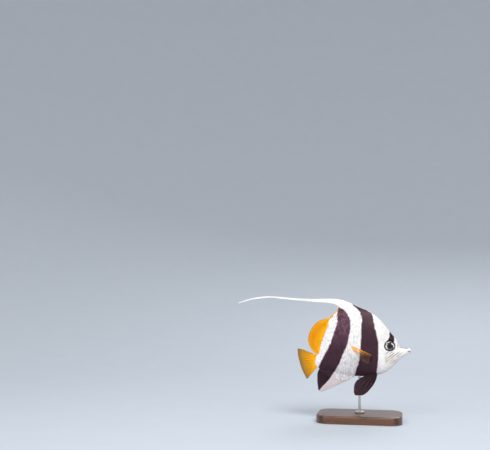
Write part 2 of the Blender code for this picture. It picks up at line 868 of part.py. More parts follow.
def build_tail():
    root = path([TAIL_TOP, TAIL_LOW])
    rays = ray_columns(TAIL_RAYS, 0, True)
    median_fin("caudal_fin", root, path(TAIL_TIPS), rays, 6, (0.95, 0.5, 0.26), (0.2, 0.08), YELLOW)


def build():
    for obj in list(bpy.data.objects):
        bpy.data.objects.remove(obj)
    build_head()
    body_piece("trunk", *trunk_grid(), WHITE)
    body_piece("tail_stalk", *stalk_grid(), WHITE)
    build_dorsal_fin()
    build_anal_fin()
    build_tail()
    for side in (1, -1):
        pectoral(side)
        pelvic(side)
    build_stand()


build()
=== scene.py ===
"""The looks of a life-size bannerfish model: skin, scales, fins, eyes, stand, light, camera.

Sizes are millimetres in the fish's own frame, as in its solids: x runs to the snout,
y to the fish's left, z up, and zero lies LIFT above the floor.
"""

import math
from collections import namedtuple

import bpy
import numpy as np
from mathutils import Matrix, Vector


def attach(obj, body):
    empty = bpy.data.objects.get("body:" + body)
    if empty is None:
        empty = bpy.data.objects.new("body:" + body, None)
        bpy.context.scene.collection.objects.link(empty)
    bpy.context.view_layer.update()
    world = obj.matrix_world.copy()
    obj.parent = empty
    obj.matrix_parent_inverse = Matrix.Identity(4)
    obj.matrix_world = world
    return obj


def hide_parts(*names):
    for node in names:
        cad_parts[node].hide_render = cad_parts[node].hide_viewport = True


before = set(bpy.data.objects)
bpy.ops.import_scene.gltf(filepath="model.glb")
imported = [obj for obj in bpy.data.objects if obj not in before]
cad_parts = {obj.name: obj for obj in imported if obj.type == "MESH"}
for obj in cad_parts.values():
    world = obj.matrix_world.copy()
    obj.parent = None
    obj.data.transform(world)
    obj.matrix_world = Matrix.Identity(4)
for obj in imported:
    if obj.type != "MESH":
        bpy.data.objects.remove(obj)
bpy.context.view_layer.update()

MM = 0.001
LIFT = 98.0

# The camera: the frame, the lens, where the fish's zero shows, and how it is seen.
FRAME_WIDTH = 490
FRAME_HEIGHT = 450
LENS = 60.0
SENSOR = 36.0
ZERO_PIXEL = (359.0, 350.5)
PIXEL_SIZE = 160.0 / 113.2
SEEN_FROM_ABOVE = 4.5
SEEN_FROM_AHEAD = 3.5

# The floor's flat radius and bend in mm, and what the lamps point at in metres.
FLOOR_FLAT = 700.0
FLOOR_BEND = 2600.0
LIGHTS_AIM = (0.0, 0.0, 0.1)

# The body without its fins, from the snout to the tail: (x, z) of its outline, (x, half width)
# at the widest height and at the edges, and (x, how bluntly the side rounds over to an edge).
BACK = (
    (71.4, 2.9), (70.8, 3.8), (69.5, 4.4), (67.0, 4.1), (64.4, 4.25), (62.2, 4.7), (58.2, 5.4),
    (55.6, 8.6), (52.6, 16.0), (45.6, 24.2), (37.0, 35.4), (28.3, 44.9), (18.4, 52.8), (8.0, 55.4),
    (-3.0, 55.8), (-15.5, 52.7), (-27.6, 43.1), (-38.9, 26.9), (-48.1, 10.6), (-54.4, -1.4),
    (-62.0, -7.4),
)
BELLY = (
    (71.4, -2.4), (69.3, -3.5), (62.9, -6.6), (55.1, -13.0), (48.8, -19.5), (42.4, -25.6),
    (36.0, -29.5), (30.4, -32.2), (23.3, -33.9), (12.7, -34.9), (0.0, -35.7), (-12.7, -35.8),
    (-25.4, -33.9), (-38.2, -30.2), (-47.3, -27.3), (-55.1, -25.7), (-62.0, -24.7),
)
WIDTH = (
    (72.0, 2.0), (68.0, 2.6), (63.0, 3.2), (58.0, 4.1), (52.0, 5.8), (44.0, 8.1), (35.0, 10.0),
    (27.0, 11.2), (15.0, 12.0), (2.0, 12.2), (-13.0, 11.4), (-27.0, 9.6), (-38.0, 7.4), (-48.0, 5.2),
    (-56.0, 3.3), (-62.0, 2.3),
)
WIDEST_SHARE = -0.14
BACK_EDGE = (
    (72.0, 0.3), (24.0, 0.3), (15.0, 1.5), (-3.0, 1.7), (-40.0, 1.5), (-57.0, 1.1), (-62.0, 0.9),
)
BELLY_EDGE = ((72.0, 0.3), (-3.0, 0.4), (-11.0, 1.5), (-40.0, 1.4), (-56.0, 1.1), (-62.0, 0.9))
BACK_BLUNT = ((72.0, 0.5), (60.0, 0.5), (48.0, 0.62), (30.0, 0.74), (10.0, 0.92), (-62.0, 0.86))
BELLY_BLUNT = (
    (72.0, 0.5), (55.0, 0.56), (20.0, 0.62), (4.0, 0.7), (-10.0, 0.96), (-24.0, 1.12), (-44.0, 1.05),
    (-62.0, 0.8),
)

# Rear edge of the gill cover and of the head: (height share, x), from throat to nape.
GILL_EDGE = (
    (-1.0, 38.0), (-0.88, 33.6), (-0.7, 28.6), (-0.45, 24.6), (-0.22, 23.2), (-0.05, 24.0),
    (0.12, 26.4), (0.3, 26.8), (0.6, 24.2), (1.0, 20.2),
)
GILL_STEP = 0.5
# Side view of the groove that runs round the cheek.
CHEEK_LINE = ((30.6, 11.0), (29.8, 1.0), (31.2, -8.0), (35.0, -14.0), (41.0, -17.4), (48.0, -18.2))
# The skin's rows run straight up and down except between these two x.
HEAD_STRAIGHT = 47.0
TRUNK_STRAIGHT = 8.0
# The skin's ends, how far it lies inside the solids, and points over one side of a row.
SNOUT_END = 71.4
SKIN_END = -64.3
SKIN_INSET = 0.2
SIDE_COLUMNS = 140

# Eye, mouth and nostrils in the side view; a nostril is x, z and its radius.
EYE_CENTRE = (43.1, 7.4)
EYE_RADIUS = 7.0
MOUTH_CORNER = (66.6, -0.6)
MOUTH_FRONT = (73.0, 0.8)
MOUTH_GAPE = 2.3
WEDGE_STEPS = 9
NOSTRILS = ((53.6, 8.0, 0.62), (55.2, 5.6, 0.5))
CORNEA_IOR = 1.38
SEGMENTS = 96

# Dorsal fin: where its parts begin and end along the back, and their margins and spines.
DORSAL_START = 18.0
SEAM_BANNER_X = -4.6
SEAM_REAR_X = -16.2
SEAM_SOFT_X = -39.2
FRONT_TIPS = ((16.4, 54.5), (9.6, 57.4), (2.0, 60.4), (-8.7, 65.3))
REAR_TIPS = (
    (-28.3, 61.6), (-30.0, 58.9), (-31.4, 56.1), (-33.9, 53.3), (-37.5, 50.2), (-41.0, 47.6),
    (-45.9, 44.6),
)
SOFT_TIPS = (
    (-45.9, 44.6), (-55.8, 41.3), (-62.9, 35.6), (-68.1, 28.3), (-71.5, 19.8), (-72.1, 13.4),
    (-70.0, 5.7), (-66.0, -1.2), (-61.4, -5.4),
)
FRONT_SPINES = np.array((0.24, 0.55, 0.86))
REAR_SPINES = (np.arange(8) + 0.35) / 7.7
SOFT_RAYS = 24
SOFT_END = -56.6
BANNER_TOP = (
    (-4.9, 56.1), (-6.6, 60.1), (-8.2, 63.9), (-9.0, 65.3), (-14.1, 67.6), (-25.4, 71.3), (-41.0, 72.7),
    (-62.2, 72.3), (-86.2, 73.0), (-106.0, 74.5), (-128.0, 76.0), (-150.5, 73.7), (-174.6, 66.9),
)
BANNER_LOW = (
    (-15.9, 52.7), (-22.0, 57.3), (-28.2, 61.9), (-32.8, 64.6), (-41.0, 66.7), (-62.2, 68.1),
    (-86.2, 70.1), (-106.0, 72.0), (-128.0, 73.8), (-150.5, 71.7), (-174.2, 65.6),
)
BANNER_SWAY = 4.0
ANAL_START = -7.0
ANAL_END = -55.6
ANAL_SEAM_X = -17.5
ANAL_SPINES = np.array((0.22, 0.52, 0.84))
ANAL_SPINE_TIPS = ((-8.2, -37.6), (-13.4, -40.6), (-24.2, -46.2), (-34.6, -51.0))
ANAL_TIPS = (
    (-34.6, -51.0), (-46.6, -56.3), (-54.0, -58.8), (-57.1, -57.7), (-58.6, -52.0), (-59.4, -43.0),
    (-59.4, -35.6), (-58.4, -31.0),
)
ANAL_RAYS = 18
TAIL_ROOT = ((-59.0, -7.6), (-59.0, -24.0))
TAIL_TIPS = (
    (-72.0, -2.6), (-82.0, 0.8), (-87.6, 1.6), (-87.2, -6.0), (-85.8, -13.0), (-83.4, -21.9),
    (-80.8, -29.0), (-77.6, -35.6), (-74.2, -41.2), (-68.6, -35.2),
)
TAIL_RAYS = 19
PECTORAL_ROOT = ((20.0, -6.2), (17.4, -13.2))
PECTORAL_RAYS = 15
# Share from the first ray to the last, length, and the way it points.
PECTORAL_FAN = (
    (0.0, 33.5, (-0.80, 0.42, 0.42)), (0.07, 36.5, (-0.80, 0.44, 0.39)),
    (0.22, 32.5, (-0.75, 0.56, 0.27)), (0.45, 26.0, (-0.67, 0.71, 0.09)),
    (0.72, 19.5, (-0.54, 0.83, -0.12)), (1.0, 13.0, (-0.34, 0.88, -0.32)),
)
PELVIC_ROOT = (25.0, 12.6)
PELVIC_ROOT_SHARE = -0.965
PELVIC_TIPS = (
    (15.6, -52.4), (10.4, -58.0), (3.2, -61.6), (-4.9, -61.8), (-7.4, -57.0), (-7.2, -49.8),
    (-4.6, -43.2), (1.2, -38.6),
)
PELVIC_RAYS = 6
PELVIC_SPLAY = 0.2
PELVIC_BOW = 2.4
# How deep a median fin's root sits in the body, and mm between the joints of a soft ray.
ROOT_SINK = 1.0
RAY_JOINT = 1.15
SIDEWAYS = np.array((0.0, 1.0, 0.0))

# Scales: spacing along their rows by x, and the rows' spacing as a share of it.
SCALE_PITCH = (
    (60.0, 0.75), (52.0, 0.9), (44.0, 1.15), (36.0, 1.5), (28.0, 1.95), (16.0, 2.35), (-15.0, 2.4),
    (-35.0, 2.05), (-48.0, 1.6), (-58.0, 1.2), (-72.0, 0.85),
)
ROW_SHARE = 0.84
SCALED_FROM = 58.0
SCALED_TO = -67.5
# The bare ring about the eye, where the tail fin's base begins, where its scales start to fan
# out, how far up a fin the scales turn along its rays, and the step that the scales' lie is read by.
EYE_BARE = 8.2
TAIL_BASE = -60.0
TAIL_FAN = -54.0
SHEATH_FAR = 9.0
COLUMN_STEP = 0.3
# A scale's tilt, how far it may turn at random, and the size of its patch of the unwrap.
LEAF_TILT = 0.085
RUFFLE = 0.035
PATCH = 0.003
# The rows of scales come together at the snout and, more faintly, behind the tail.
ROWS_MEET_AHEAD = 71.0
ROWS_MEET_BEHIND = -98.0
# Where the tail fin's rays come together, and its upper and lower edge as far as it is scaled.
TAIL_FOCUS = (-50.0, -11.0)
TAIL_SCALED_TOP = ((-73.0, -3.4), (-66.0, -5.9), (-62.0, -7.4), (-54.4, -1.4))
TAIL_SCALED_LOW = ((-73.0, -38.0), (-66.0, -30.4), (-62.0, -24.9), (-55.1, -25.7))
# How far the scales climb the dorsal and the anal fin, by x.
DORSAL_SHEATH = (
    (18.0, 0.1), (10.0, 0.3), (2.0, 1.0), (-5.0, 3.4), (-16.0, 6.0), (-28.0, 9.0), (-40.0, 12.0),
    (-50.0, 9.0), (-57.0, 4.0),
)
ANAL_SHEATH = ((-7.0, 0.5), (-15.0, 4.0), (-30.0, 8.0), (-45.0, 9.0), (-55.0, 4.0))

# Edges of the markings in the side view: (x, z) from above down.
BAND_1_FRONT = (
    (14.0, 90.0), (12.7, 55.8), (16.3, 53.7), (19.1, 50.2), (21.2, 41.7), (24.0, 29.0), (26.9, 18.4),
    (27.7, 0.7), (26.9, -13.4), (25.2, -27.6), (25.2, -34.6), (27.0, -70.0),
)
BAND_1_REAR = (
    (10.0, 90.0), (5.0, 67.5), (-8.5, 65.7), (-4.2, 60.8), (0.0, 56.5), (2.8, 53.0), (5.4, 44.5),
    (4.5, 34.6), (4.0, 14.8), (2.8, 0.7), (0.3, -16.3), (-3.3, -26.1), (-5.7, -34.6), (-7.1, -37.5),
    (-12.0, -70.0),
)
BAND_2_FRONT = (
    (-38.0, 90.0), (-31.5, 63.5), (-27.6, 60.8), (-19.8, 55.8), (-13.4, 48.1), (-10.6, 37.5),
    (-12.7, 20.5), (-15.3, 9.2), (-20.2, -2.1), (-26.1, -16.3), (-33.9, -29.0), (-42.4, -41.0),
    (-56.5, -56.5), (-66.0, -70.0),
)
BAND_2_REAR = (
    (-20.0, 90.0), (-25.6, 63.5), (-27.6, 60.8), (-29.6, 55.0), (-30.4, 50.0), (-29.4, 45.0),
    (-31.1, 34.6), (-34.3, 23.3), (-40.3, 7.8), (-48.8, -7.8), (-55.4, -21.2), (-60.5, -34.6),
    (-74.0, -70.0),
)
YELLOW_FRONT = (
    (-25.5, 90.0), (-26.2, 63.5), (-26.9, 61.5), (-27.3, 59.0), (-28.1, 57.3), (-30.2, 54.4),
    (-32.6, 51.6), (-35.2, 48.9), (-37.8, 46.3), (-41.2, 41.7), (-42.4, 36.7), (-45.9, 27.6),
    (-50.2, 16.3), (-53.7, 6.4), (-55.4, -2.1), (-57.0, -6.4), (-59.6, -8.0), (-61.1, -14.1),
    (-62.2, -17.7), (-59.4, -24.7), (-62.0, -40.0), (-64.0, -70.0),
)
BAR_REAR = ((43.0, 30.0), (42.8, 24.0), (42.7, 19.1), (38.2, 13.4), (36.0, 10.6), (36.0, 0.0))
BAR_FRONT = ((48.6, 30.0), (49.2, 19.4), (49.5, 16.3), (48.8, 12.7), (49.0, 0.0))


def slopes(xs, ys):
    """Slopes that keep a cubic through the points free of overshoot."""
    step = np.diff(xs)
    rise = np.diff(ys) / step
    out = np.zeros(len(xs))
    same = rise[:-1] * rise[1:] > 0
    first = 2 * step[1:] + step[:-1]
    second = step[1:] + 2 * step[:-1]
    safe_a = np.where(same, rise[:-1], 1)
    safe_b = np.where(same, rise[1:], 1)
    out[1:-1] = np.where(same, (first + second) / (first / safe_a + second / safe_b), 0)
    out[0] = rise[0]
    out[-1] = rise[-1]
    return out


def curve(points):
    """Smooth function through (x, y) points."""
    table = np.array(points, float)
    table = table[np.argsort(table[:, 0])]
    xs = table[:, 0]
    ys = table[:, 1]
    lean = slopes(xs, ys)

    def value(x):
        x = np.clip(np.asarray(x, float), xs[0], xs[-1])
        i = np.clip(np.searchsorted(xs, x) - 1, 0, len(xs) - 2)
        step = xs[i + 1] - xs[i]
        t = (x - xs[i]) / step
        a = (1 + 2 * t) * (1 - t) ** 2 * ys[i] + t * (1 - t) ** 2 * step * lean[i]
        b = t * t * (3 - 2 * t) * ys[i + 1] + t * t * (t - 1) * step * lean[i + 1]
        return a + b

    return value


def run(points):
    """Length along a line at each of its points."""
    steps = np.linalg.norm(np.diff(points, axis=0), axis=1)
    return np.concatenate([[0], np.cumsum(steps)])


def path(points):
    """Smooth line through points, read by the share of its length."""
    points = np.array(points, float)
    far = run(points)
    parts = [curve(np.column_stack([far / far[-1], part])) for part in points.T]
    return lambda t: np.stack([part(t) for part in parts], axis=-1)


# Each is a function of x, but for gill_edge, which goes by the height share.
back = curve(BACK)
belly = curve(BELLY)
width = curve(WIDTH)
back_edge = curve(BACK_EDGE)
belly_edge = curve(BELLY_EDGE)
back_blunt = curve(BACK_BLUNT)
belly_blunt = curve(BELLY_BLUNT)
gill_edge = curve(GILL_EDGE)
scale_pitch = curve(SCALE_PITCH)
dorsal_sheath = curve(DORSAL_SHEATH)
anal_sheath = curve(ANAL_SHEATH)
tail_scaled_top = curve(TAIL_SCALED_TOP)
tail_scaled_low = curve(TAIL_SCALED_LOW)


def soft_step(t):
    t = np.clip(t, 0, 1)
    return t * t * (3 - 2 * t)


def unit(v):
    return v / np.linalg.norm(v, axis=-1, keepdims=True)


def bell(value, middle, spread):
    return np.exp(-(((value - middle) / spread) ** 2))


def slope_of(line, x):
    return (line(x + 0.4) - line(x - 0.4)) / 0.8


def fin_half(far):
    """Half thickness of a median fin at a distance from the body's edge."""
    return 0.2 + 1.25 * np.exp(-np.clip(far, 0, None) / 4.5)


def plain_half_width(x, share):
    """Half width of the body at x, and at a height share from -1 at the belly to 1 at the back."""
    up = np.clip((share - WIDEST_SHARE) / (1 - WIDEST_SHARE), 0, 1)
    down = np.clip((WIDEST_SHARE - share) / (1 + WIDEST_SHARE), 0, 1)
    above = back_edge(x) + (width(x) - back_edge(x)) * (1 - up**2) ** back_blunt(x)
    under = belly_edge(x) + (width(x) - belly_edge(x)) * (1 - down**2.2) ** belly_blunt(x)
    body = np.where(share >= WIDEST_SHARE, above, under)
    tail = soft_step((x + 64.5) / 4.0)
    return 0.4 + (body - 0.4) * tail


def height_at(x, share):
    return (back(x) + belly(x)) / 2 + share * (back(x) - belly(x)) / 2


def share_at(x, z):
    return (2 * z - back(x) - belly(x)) / (back(x) - belly(x))


def distance_to(line, x, z):
    """Distance in the side view from points to a line of (x, z) points."""
    best = np.full(np.shape(x), 1e9)
    for (ax, az), (bx, bz) in zip(line[:-1], line[1:]):
        long = (bx - ax) ** 2 + (bz - az) ** 2
        t = np.clip(((x - ax) * (bx - ax) + (z - az) * (bz - az)) / long, 0, 1)
        best = np.minimum(best, np.hypot(x - ax - t * (bx - ax), z - az - t * (bz - az)))
    return best


def relief(x, share, behind):
    """How far the skin stands out of the plain body: orbit, gill cover, cheek, lips, nostrils.

    behind is true for skin that lies behind the gill cover's edge.
    """
    z = height_at(x, share)
    from_eye = np.hypot(x - EYE_CENTRE[0], z - EYE_CENTRE[1])
    rise = 0.5 * bell(from_eye, 8.0, 1.15)
    past = x - gill_edge(share)
    slit = soft_step((0.2 - share) / 0.15) * soft_step((share + 1.0) / 0.12)
    cover = GILL_STEP * np.exp(-np.clip(past, 0, 99) / 5.0)
    under = -0.25 * np.exp(-np.clip(-past, 0, 99) / 0.9)
    rise = rise + slit * np.where(behind, under, cover)
    cheek = distance_to(CHEEK_LINE, x, z)
    rise = rise + 0.14 * bell(cheek, 1.3, 0.7) - 0.28 * bell(cheek, 0.0, 0.7)
    lip = distance_to((MOUTH_CORNER, MOUTH_FRONT), x, z)
    rise = rise + 0.4 * bell(lip, 1.0, 0.75) * soft_step((x - 64.5) / 2.5)
    rise = rise - 0.18 * bell(lip, 2.2, 0.5) * soft_step((x - 65.0) / 2.0)
    for nx, nz, radius in NOSTRILS:
        far = np.hypot(x - nx, z - nz) / radius
        rise = rise + 0.16 * bell(far, 1.35, 0.35) - 0.85 * np.exp(-((far / 0.85) ** 4))
    return rise * soft_step((1 - np.abs(share)) / 0.1)


def placed(points):
    return (np.asarray(points, float) + (0, 0, LIFT)) * MM


def add_object(name, data):
    made = bpy.data.objects.new(name, data)
    bpy.context.collection.objects.link(made)
    return made


def new_piece(name, points, faces, *materials, sharp=50.0):
    """A named mesh object from points in the fish's frame."""
    mesh = bpy.data.meshes.new(name)
    mesh.from_pydata(placed(points).tolist(), [], [tuple(int(i) for i in face) for face in faces])
    mesh.validate()
    mesh.shade_smooth()
    mesh.set_sharp_from_angle(angle=math.radians(sharp))
    for material in materials:
        mesh.materials.append(material)
    return add_object(name, mesh)


def keep(piece, slot, *nodes):
    """Hands a finished piece to the frame, in place of its solids."""
    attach(piece, "root")
    if nodes:
        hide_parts(*nodes)
    return piece


def give(mesh, name, kind, values):
    """Stores a value for each point of a mesh."""
    layer = mesh.attributes.new(name, kind, "POINT")
    field = "value" if kind == "FLOAT" else "vector"
    layer.data.foreach_set(field, np.asarray(values, np.float32).ravel())


def sided(name, side):
    return name + ("_left" if side > 0 else "_right")


def grid_faces(index):
    """Quads over a grid of point numbers."""
    a = index[:-1, :-1].ravel()
    b = index[:-1, 1:].ravel()
    c = index[1:, 1:].ravel()
    d = index[1:, :-1].ravel()
    return np.column_stack([a, b, c, d])


def feed(socket, value):
    if isinstance(value, Wire):
        socket.id_data.links.new(value.socket, socket)
    elif value is not None:
        socket.default_value = value


def add_node(tree, kind, *values, out=0, named=(), **settings):
    """Adds a node with its inputs fed by order and by name, and gives back one of its outputs."""
    made = tree.nodes.new(kind)
    for key, value in settings.items():
        setattr(made, key, value)
    for socket, value in zip(made.inputs, values):
        feed(socket, value)
    for key, value in dict(named).items():
        feed(made.inputs[key], value)
    return Wire(made.outputs[out])


class Wire:
    """A node's output. Sums, products and steps of it become further nodes of its tree."""

    def __init__(self, socket):
        self.socket = socket

    def __add__(self, other):
        return self.math("ADD", other)

    def __sub__(self, other):
        return self.math("SUBTRACT", other)

    def __rsub__(self, other):
        return self.node("ShaderNodeMath", other, self, operation="SUBTRACT")

    def __mul__(self, other):
        return self.math("MULTIPLY", other)

    def __abs__(self):
        return self.math("ABSOLUTE")

    def node(self, kind, *values, **settings):
        return add_node(self.socket.id_data, kind, *values, **settings)

    def math(self, operation, *others):
        return self.node("ShaderNodeMath", self, *others, operation=operation)

    def ramp(self, factor, offset):
        """The value times a factor, plus an offset."""
        return self.math("MULTIPLY_ADD", factor, offset)

    def most(self, *others):
        """The greatest of several values."""
        out = self
        for other in others:
            out = out.math("MAXIMUM", other)
        return out

    def step(self, low, high, start=0.0, end=1.0):
        """Smooth step of the value from low to high."""
        settings = {"interpolation_type": "SMOOTHSTEP"}
        return self.node("ShaderNodeMapRange", self, low, high, start, end, **settings)

    def noise(self, scale, detail=2.0, rough=0.5):
        named = {"Vector": self, "Scale": scale, "Detail": detail, "Roughness": rough}
        return self.node("ShaderNodeTexNoise", named=named)

    def stretch(self, *factors):
        return self.node("ShaderNodeVectorMath", self, factors, operation="MULTIPLY")

    def split(self):
        return [Wire(out) for out in self.node("ShaderNodeSeparateXYZ", self).socket.node.outputs]

    def bump(self, distance, strength, under=None):
        named = {"Strength": strength, "Distance": distance * MM, "Height": self, "Normal": under}
        return self.node("ShaderNodeBump", named=named)


def blend(share, first, second, way="MIX"):
    """A share of the second colour over the first."""
    wire = next(value for value in (share, first, second) if isinstance(value, Wire))
    named = {0: share, 6: first, 7: second}
    return wire.node("ShaderNodeMix", out=2, named=named, data_type="RGBA", blend_type=way)


def layered(color, *layers):
    """A colour with layers over it, each given by its share, its colour and the way it mixes."""
    for share, over, *way in layers:
        color = blend(share, color, over, *way)
    return color


def rgb(red, green, blue):
    """Linear colour of an 8-bit one."""
    def linear(value):
        value /= 255
        return value / 12.92 if value <= 0.04045 else ((value + 0.055) / 1.055) ** 2.4

    return linear(red), linear(green), linear(blue), 1.0


class Finish:
    """A material with its constants set on the shader's own sockets."""

    def __init__(self, name, **constants):
        self.material = bpy.data.materials.new(name)
        self.material.use_nodes = True
        self.tree = self.material.node_tree
        self.shader = self.tree.nodes["Principled BSDF"]
        for key, value in constants.items():
            self.shader.inputs[key.replace("_", " ")].default_value = value
        spot = add_node(self.tree, "ShaderNodeTexCoord", out="Object")
        grow = (1 / MM, 1 / MM, 1 / MM)
        drop = (0.0, 0.0, -LIFT)
        self.place = spot.node("ShaderNodeVectorMath", spot, grow, drop, operation="MULTIPLY_ADD")

    def attribute(self, name, out="Fac"):
        return add_node(self.tree, "ShaderNodeAttribute", out=out, attribute_name=name)

    def markings(self, place):
        """The fish's colour at a place, and how much of it is a dark marking."""
        group = bpy.data.node_groups["fish_markings"]
        made = add_node(self.tree, "ShaderNodeGroup", place, node_tree=group).socket.node
        return Wire(made.outputs["Color"]), Wire(made.outputs["Dark"])

    def done(self, color, roughness, normal=None, **more):
        """Feeds the shader and gives back the material."""
        values = {"Base Color": color, "Roughness": roughness, "Normal": normal, **more}
        for key, value in values.items():
            feed(self.shader.inputs[key], value)
        return self.material


WHITE = rgb(243, 240, 237)
CREAM = rgb(245, 236, 228)
PEARL = rgb(242, 238, 238)
# Painted shade: a greyer white low on the belly.
BELLY_PAINTED_SHADE = rgb(206, 198, 201)
CROWN = rgb(240, 240, 239)
PINK = rgb(220, 180, 194)
# Painted shade in the cheek's fine creases.
CREASE_SHADE = rgb(128, 106, 96)
# Painted light lifts the dark bands towards the top and painted shade darkens them low down; the
# darkest is also the own dark of the eye ring, the bar and the scale rims.
DARK_LIT_TOP_AND_MOTTLE = rgb(70, 42, 50)
DARK_REAR_LIT_TOP = rgb(96, 62, 77)
DARK = rgb(43, 19, 31)
DARKEST_AND_LOW_SHADE = rgb(29, 9, 19)
DARK_BLOOM = rgb(138, 100, 114)
FIN_SHADOW = (0.8, 0.688, 0.592, 1.0)
YELLOW = rgb(254, 174, 0)
ORANGE = rgb(242, 152, 0)
OLIVE = rgb(124, 90, 28)


# Range of z and x that the edges of the markings are read over, how far a band's edge fades,
# and mm from crease to crease on the cheek.
EDGE_LOW = -70.0
EDGE_HIGH = 90.0
EDGE_REAR = -80.0
EDGE_AHEAD = 55.0
BAND_BLUR = 0.55
CREASE_PITCH = 2.9


def edge_at(z, line):
    """x of a marking's edge at the height z, read from its (x, z) points."""
    share = z.node("ShaderNodeMapRange", z, EDGE_LOW, EDGE_HIGH, 0.0, 1.0)
    out = z.node("ShaderNodeFloatCurve", named={"Value": share})
    mapping = out.socket.node.mapping
    spots = sorted(((pz - EDGE_LOW) / (EDGE_HIGH - EDGE_LOW), px) for px, pz in line)
    points = mapping.curves[0].points
    while len(points) < len(spots):
        points.new(0.5, 0.5)
    for point, (at, px) in zip(points, spots):
        point.location = (at, (px - EDGE_REAR) / (EDGE_AHEAD - EDGE_REAR))
    mapping.update()
    return z.node("ShaderNodeMapRange", out, 0.0, 1.0, EDGE_REAR, EDGE_AHEAD)


def eye_distance(x, z, tall=1.0):
    """Distance from the eye's centre in the side view."""
    ex = x - EYE_CENTRE[0]
    ez = z - EYE_CENTRE[1]
    return (ex * ex + ez * ez * tall).math("SQRT")


def marking_group():
    """The fish's colours by place in the side view, shared by skin, scales and fins, with painted light
    and shade by height.
    """
    tree = bpy.data.node_groups.new("fish_markings", "ShaderNodeTree")
    tree.interface.new_socket("Place", in_out="INPUT", socket_type="NodeSocketVector")
    tree.interface.new_socket("Color", in_out="OUTPUT", socket_type="NodeSocketColor")
    tree.interface.new_socket("Dark", in_out="OUTPUT", socket_type="NodeSocketFloat")
    place = Wire(tree.nodes.new("NodeGroupInput").outputs[0])
    result = tree.nodes.new("NodeGroupOutput")
    x, _, z = place.split()
    mottle = place.noise(0.22, 3.0, 0.6)
    wobble = (place.noise(0.9, 2.0, 0.6) - 0.5) * 1.9
    x_at = x + wobble
    band_edges = (BAND_1_FRONT, BAND_1_REAR, BAND_2_FRONT, BAND_2_REAR)
    past = [x_at - edge_at(z, line) for line in band_edges]
    band_1 = past[0].step(BAND_BLUR, -BAND_BLUR) * past[1].step(-BAND_BLUR, BAND_BLUR)
    band_2 = past[2].step(BAND_BLUR, -BAND_BLUR) * past[3].step(-BAND_BLUR, BAND_BLUR)
    bar = (x_at - edge_at(z, BAR_FRONT)).step(0.5, -0.5)
    bar = bar * (x_at - edge_at(z, BAR_REAR)).step(-0.5, 0.5) * z.step(8.0, 9.5)
    ring = eye_distance(x, z, 1.13).step(8.0, 7.5)
    above_line = x.ramp(0.17, z - (4.6 + 0.17 * 58.0))
    saddle = above_line.step(-0.5, 0.6) * x.step(56.0, 58.0) * x.step(68.5, 66.5)
    dark = band_1.most(band_2, bar, ring, saddle * 0.85)
    fringes = [abs(edge).step(2.0, 0.4) for edge in past]
    white = layered(
        WHITE,
        (x.step(30.0, 40.0) * z.step(2.0, -12.0) * 0.75, CREAM),
        (x.step(26.0, 18.0) * z.step(10.0, -30.0) * 0.35, PEARL),
        # painted shade, greyer low on the belly
        (z.step(-27.0, -33.0) * 0.5, BELLY_PAINTED_SHADE),
        (mottle.step(0.45, 0.7) * 0.25, CREAM),
        (fringes[0].most(*fringes[1:]) * 0.35, PINK),
        (x.step(22.0, 36.0) * z.step(0.0, 14.0), CROWN, "MULTIPLY"),
    )
    deep = layered(
        DARK,
        # painted light: the dark bands lighter towards the top
        (z.step(25.0, 58.0), DARK_LIT_TOP_AND_MOTTLE),
        # painted light: the rear band lighter still towards its top
        (x.step(2.0, -12.0) * z.step(-5.0, 45.0), DARK_REAR_LIT_TOP),
        # painted shade: the dark bands darker low down
        (z.step(-5.0, -36.0), DARKEST_AND_LOW_SHADE),
        (mottle.step(0.35, 0.7) * 0.2, DARK_LIT_TOP_AND_MOTTLE),
        # the eye ring and the bar in the darkest pigment
        (ring.most(bar), DARKEST_AND_LOW_SHADE),
    )
    past_yellow = x_at - edge_at(z, YELLOW_FRONT)
    yellow = past_yellow.step(0.4, -0.7) * z.step(62.3, 61.9)
    rich = blend(past_yellow.step(-6.0, -22.0), YELLOW, ORANGE)
    feed(result.inputs["Color"], layered(white, (yellow, rich), (dark, deep)))
    feed(result.inputs["Dark"], dark)


def crease_shaded(place, color):
    """Fine slanting creases over the cheek, painted as dark lines of shade in their folds, with no
    relief.
    """
    x, y, z = place.split()
    across = x.ramp(-0.6, z * 0.8)
    across = (place.noise(0.34, 3.0) - 0.5).ramp(2.2, across)
    lines = (across * (2 * math.pi / CREASE_PITCH)).math("SINE").step(0.1, 0.85)
    broken = place.stretch(0.14, 0.2, 0.14).noise(1.0, 1.0).step(0.32, 0.5)
    cheek = abs(y).step(1.8, 3.6) * x.step(35.0, 38.5) * x.step(61.0, 57.5)
    cheek = cheek * z.step(0.8, -1.6) * z.step(-18.5, -14.0)
    return blend(lines * cheek * broken * 0.92, color, CREASE_SHADE)


def skin_finish():
    finish = Finish(
        "satin_skin",
        Specular_IOR_Level=0.14,
        Subsurface_Weight=0.05,
        Subsurface_Radius=(0.001, 0.0006, 0.0004),
        Coat_Weight=0.04,
        Coat_Roughness=0.3,
    )
    place = finish.place
    color = crease_shaded(place, finish.markings(place)[0])
    fine = place.noise(3.0, 4.0, 0.6)
    named = {"Vector": place, "Scale": 1.7, "Smoothness": 0.4}
    cells = place.node("ShaderNodeTexVoronoi", out="Distance", named=named, feature="SMOOTH_F1")
    domes = cells.step(0.75, 0.1)
    color = blend((1.0 - domes) * 0.5, color, rgb(214, 202, 198), "MULTIPLY")
    x, _, z = place.split()
    # Painted shade inside the nostril pits.
    for nx, nz, radius in NOSTRILS:
        nearby = x.node("ShaderNodeCombineXYZ", x - nx, z - nz, 0.0)
        far = x.node("ShaderNodeVectorMath", nearby, out=1, operation="LENGTH")
        color = blend(far.step(1.05 * radius, 0.6 * radius), color, rgb(70, 44, 44))
    normal = domes.bump(0.09, 0.8, fine.bump(0.05, 0.5))
    return finish.done(color, fine.step(0.3, 0.7, 0.36, 0.5), normal)


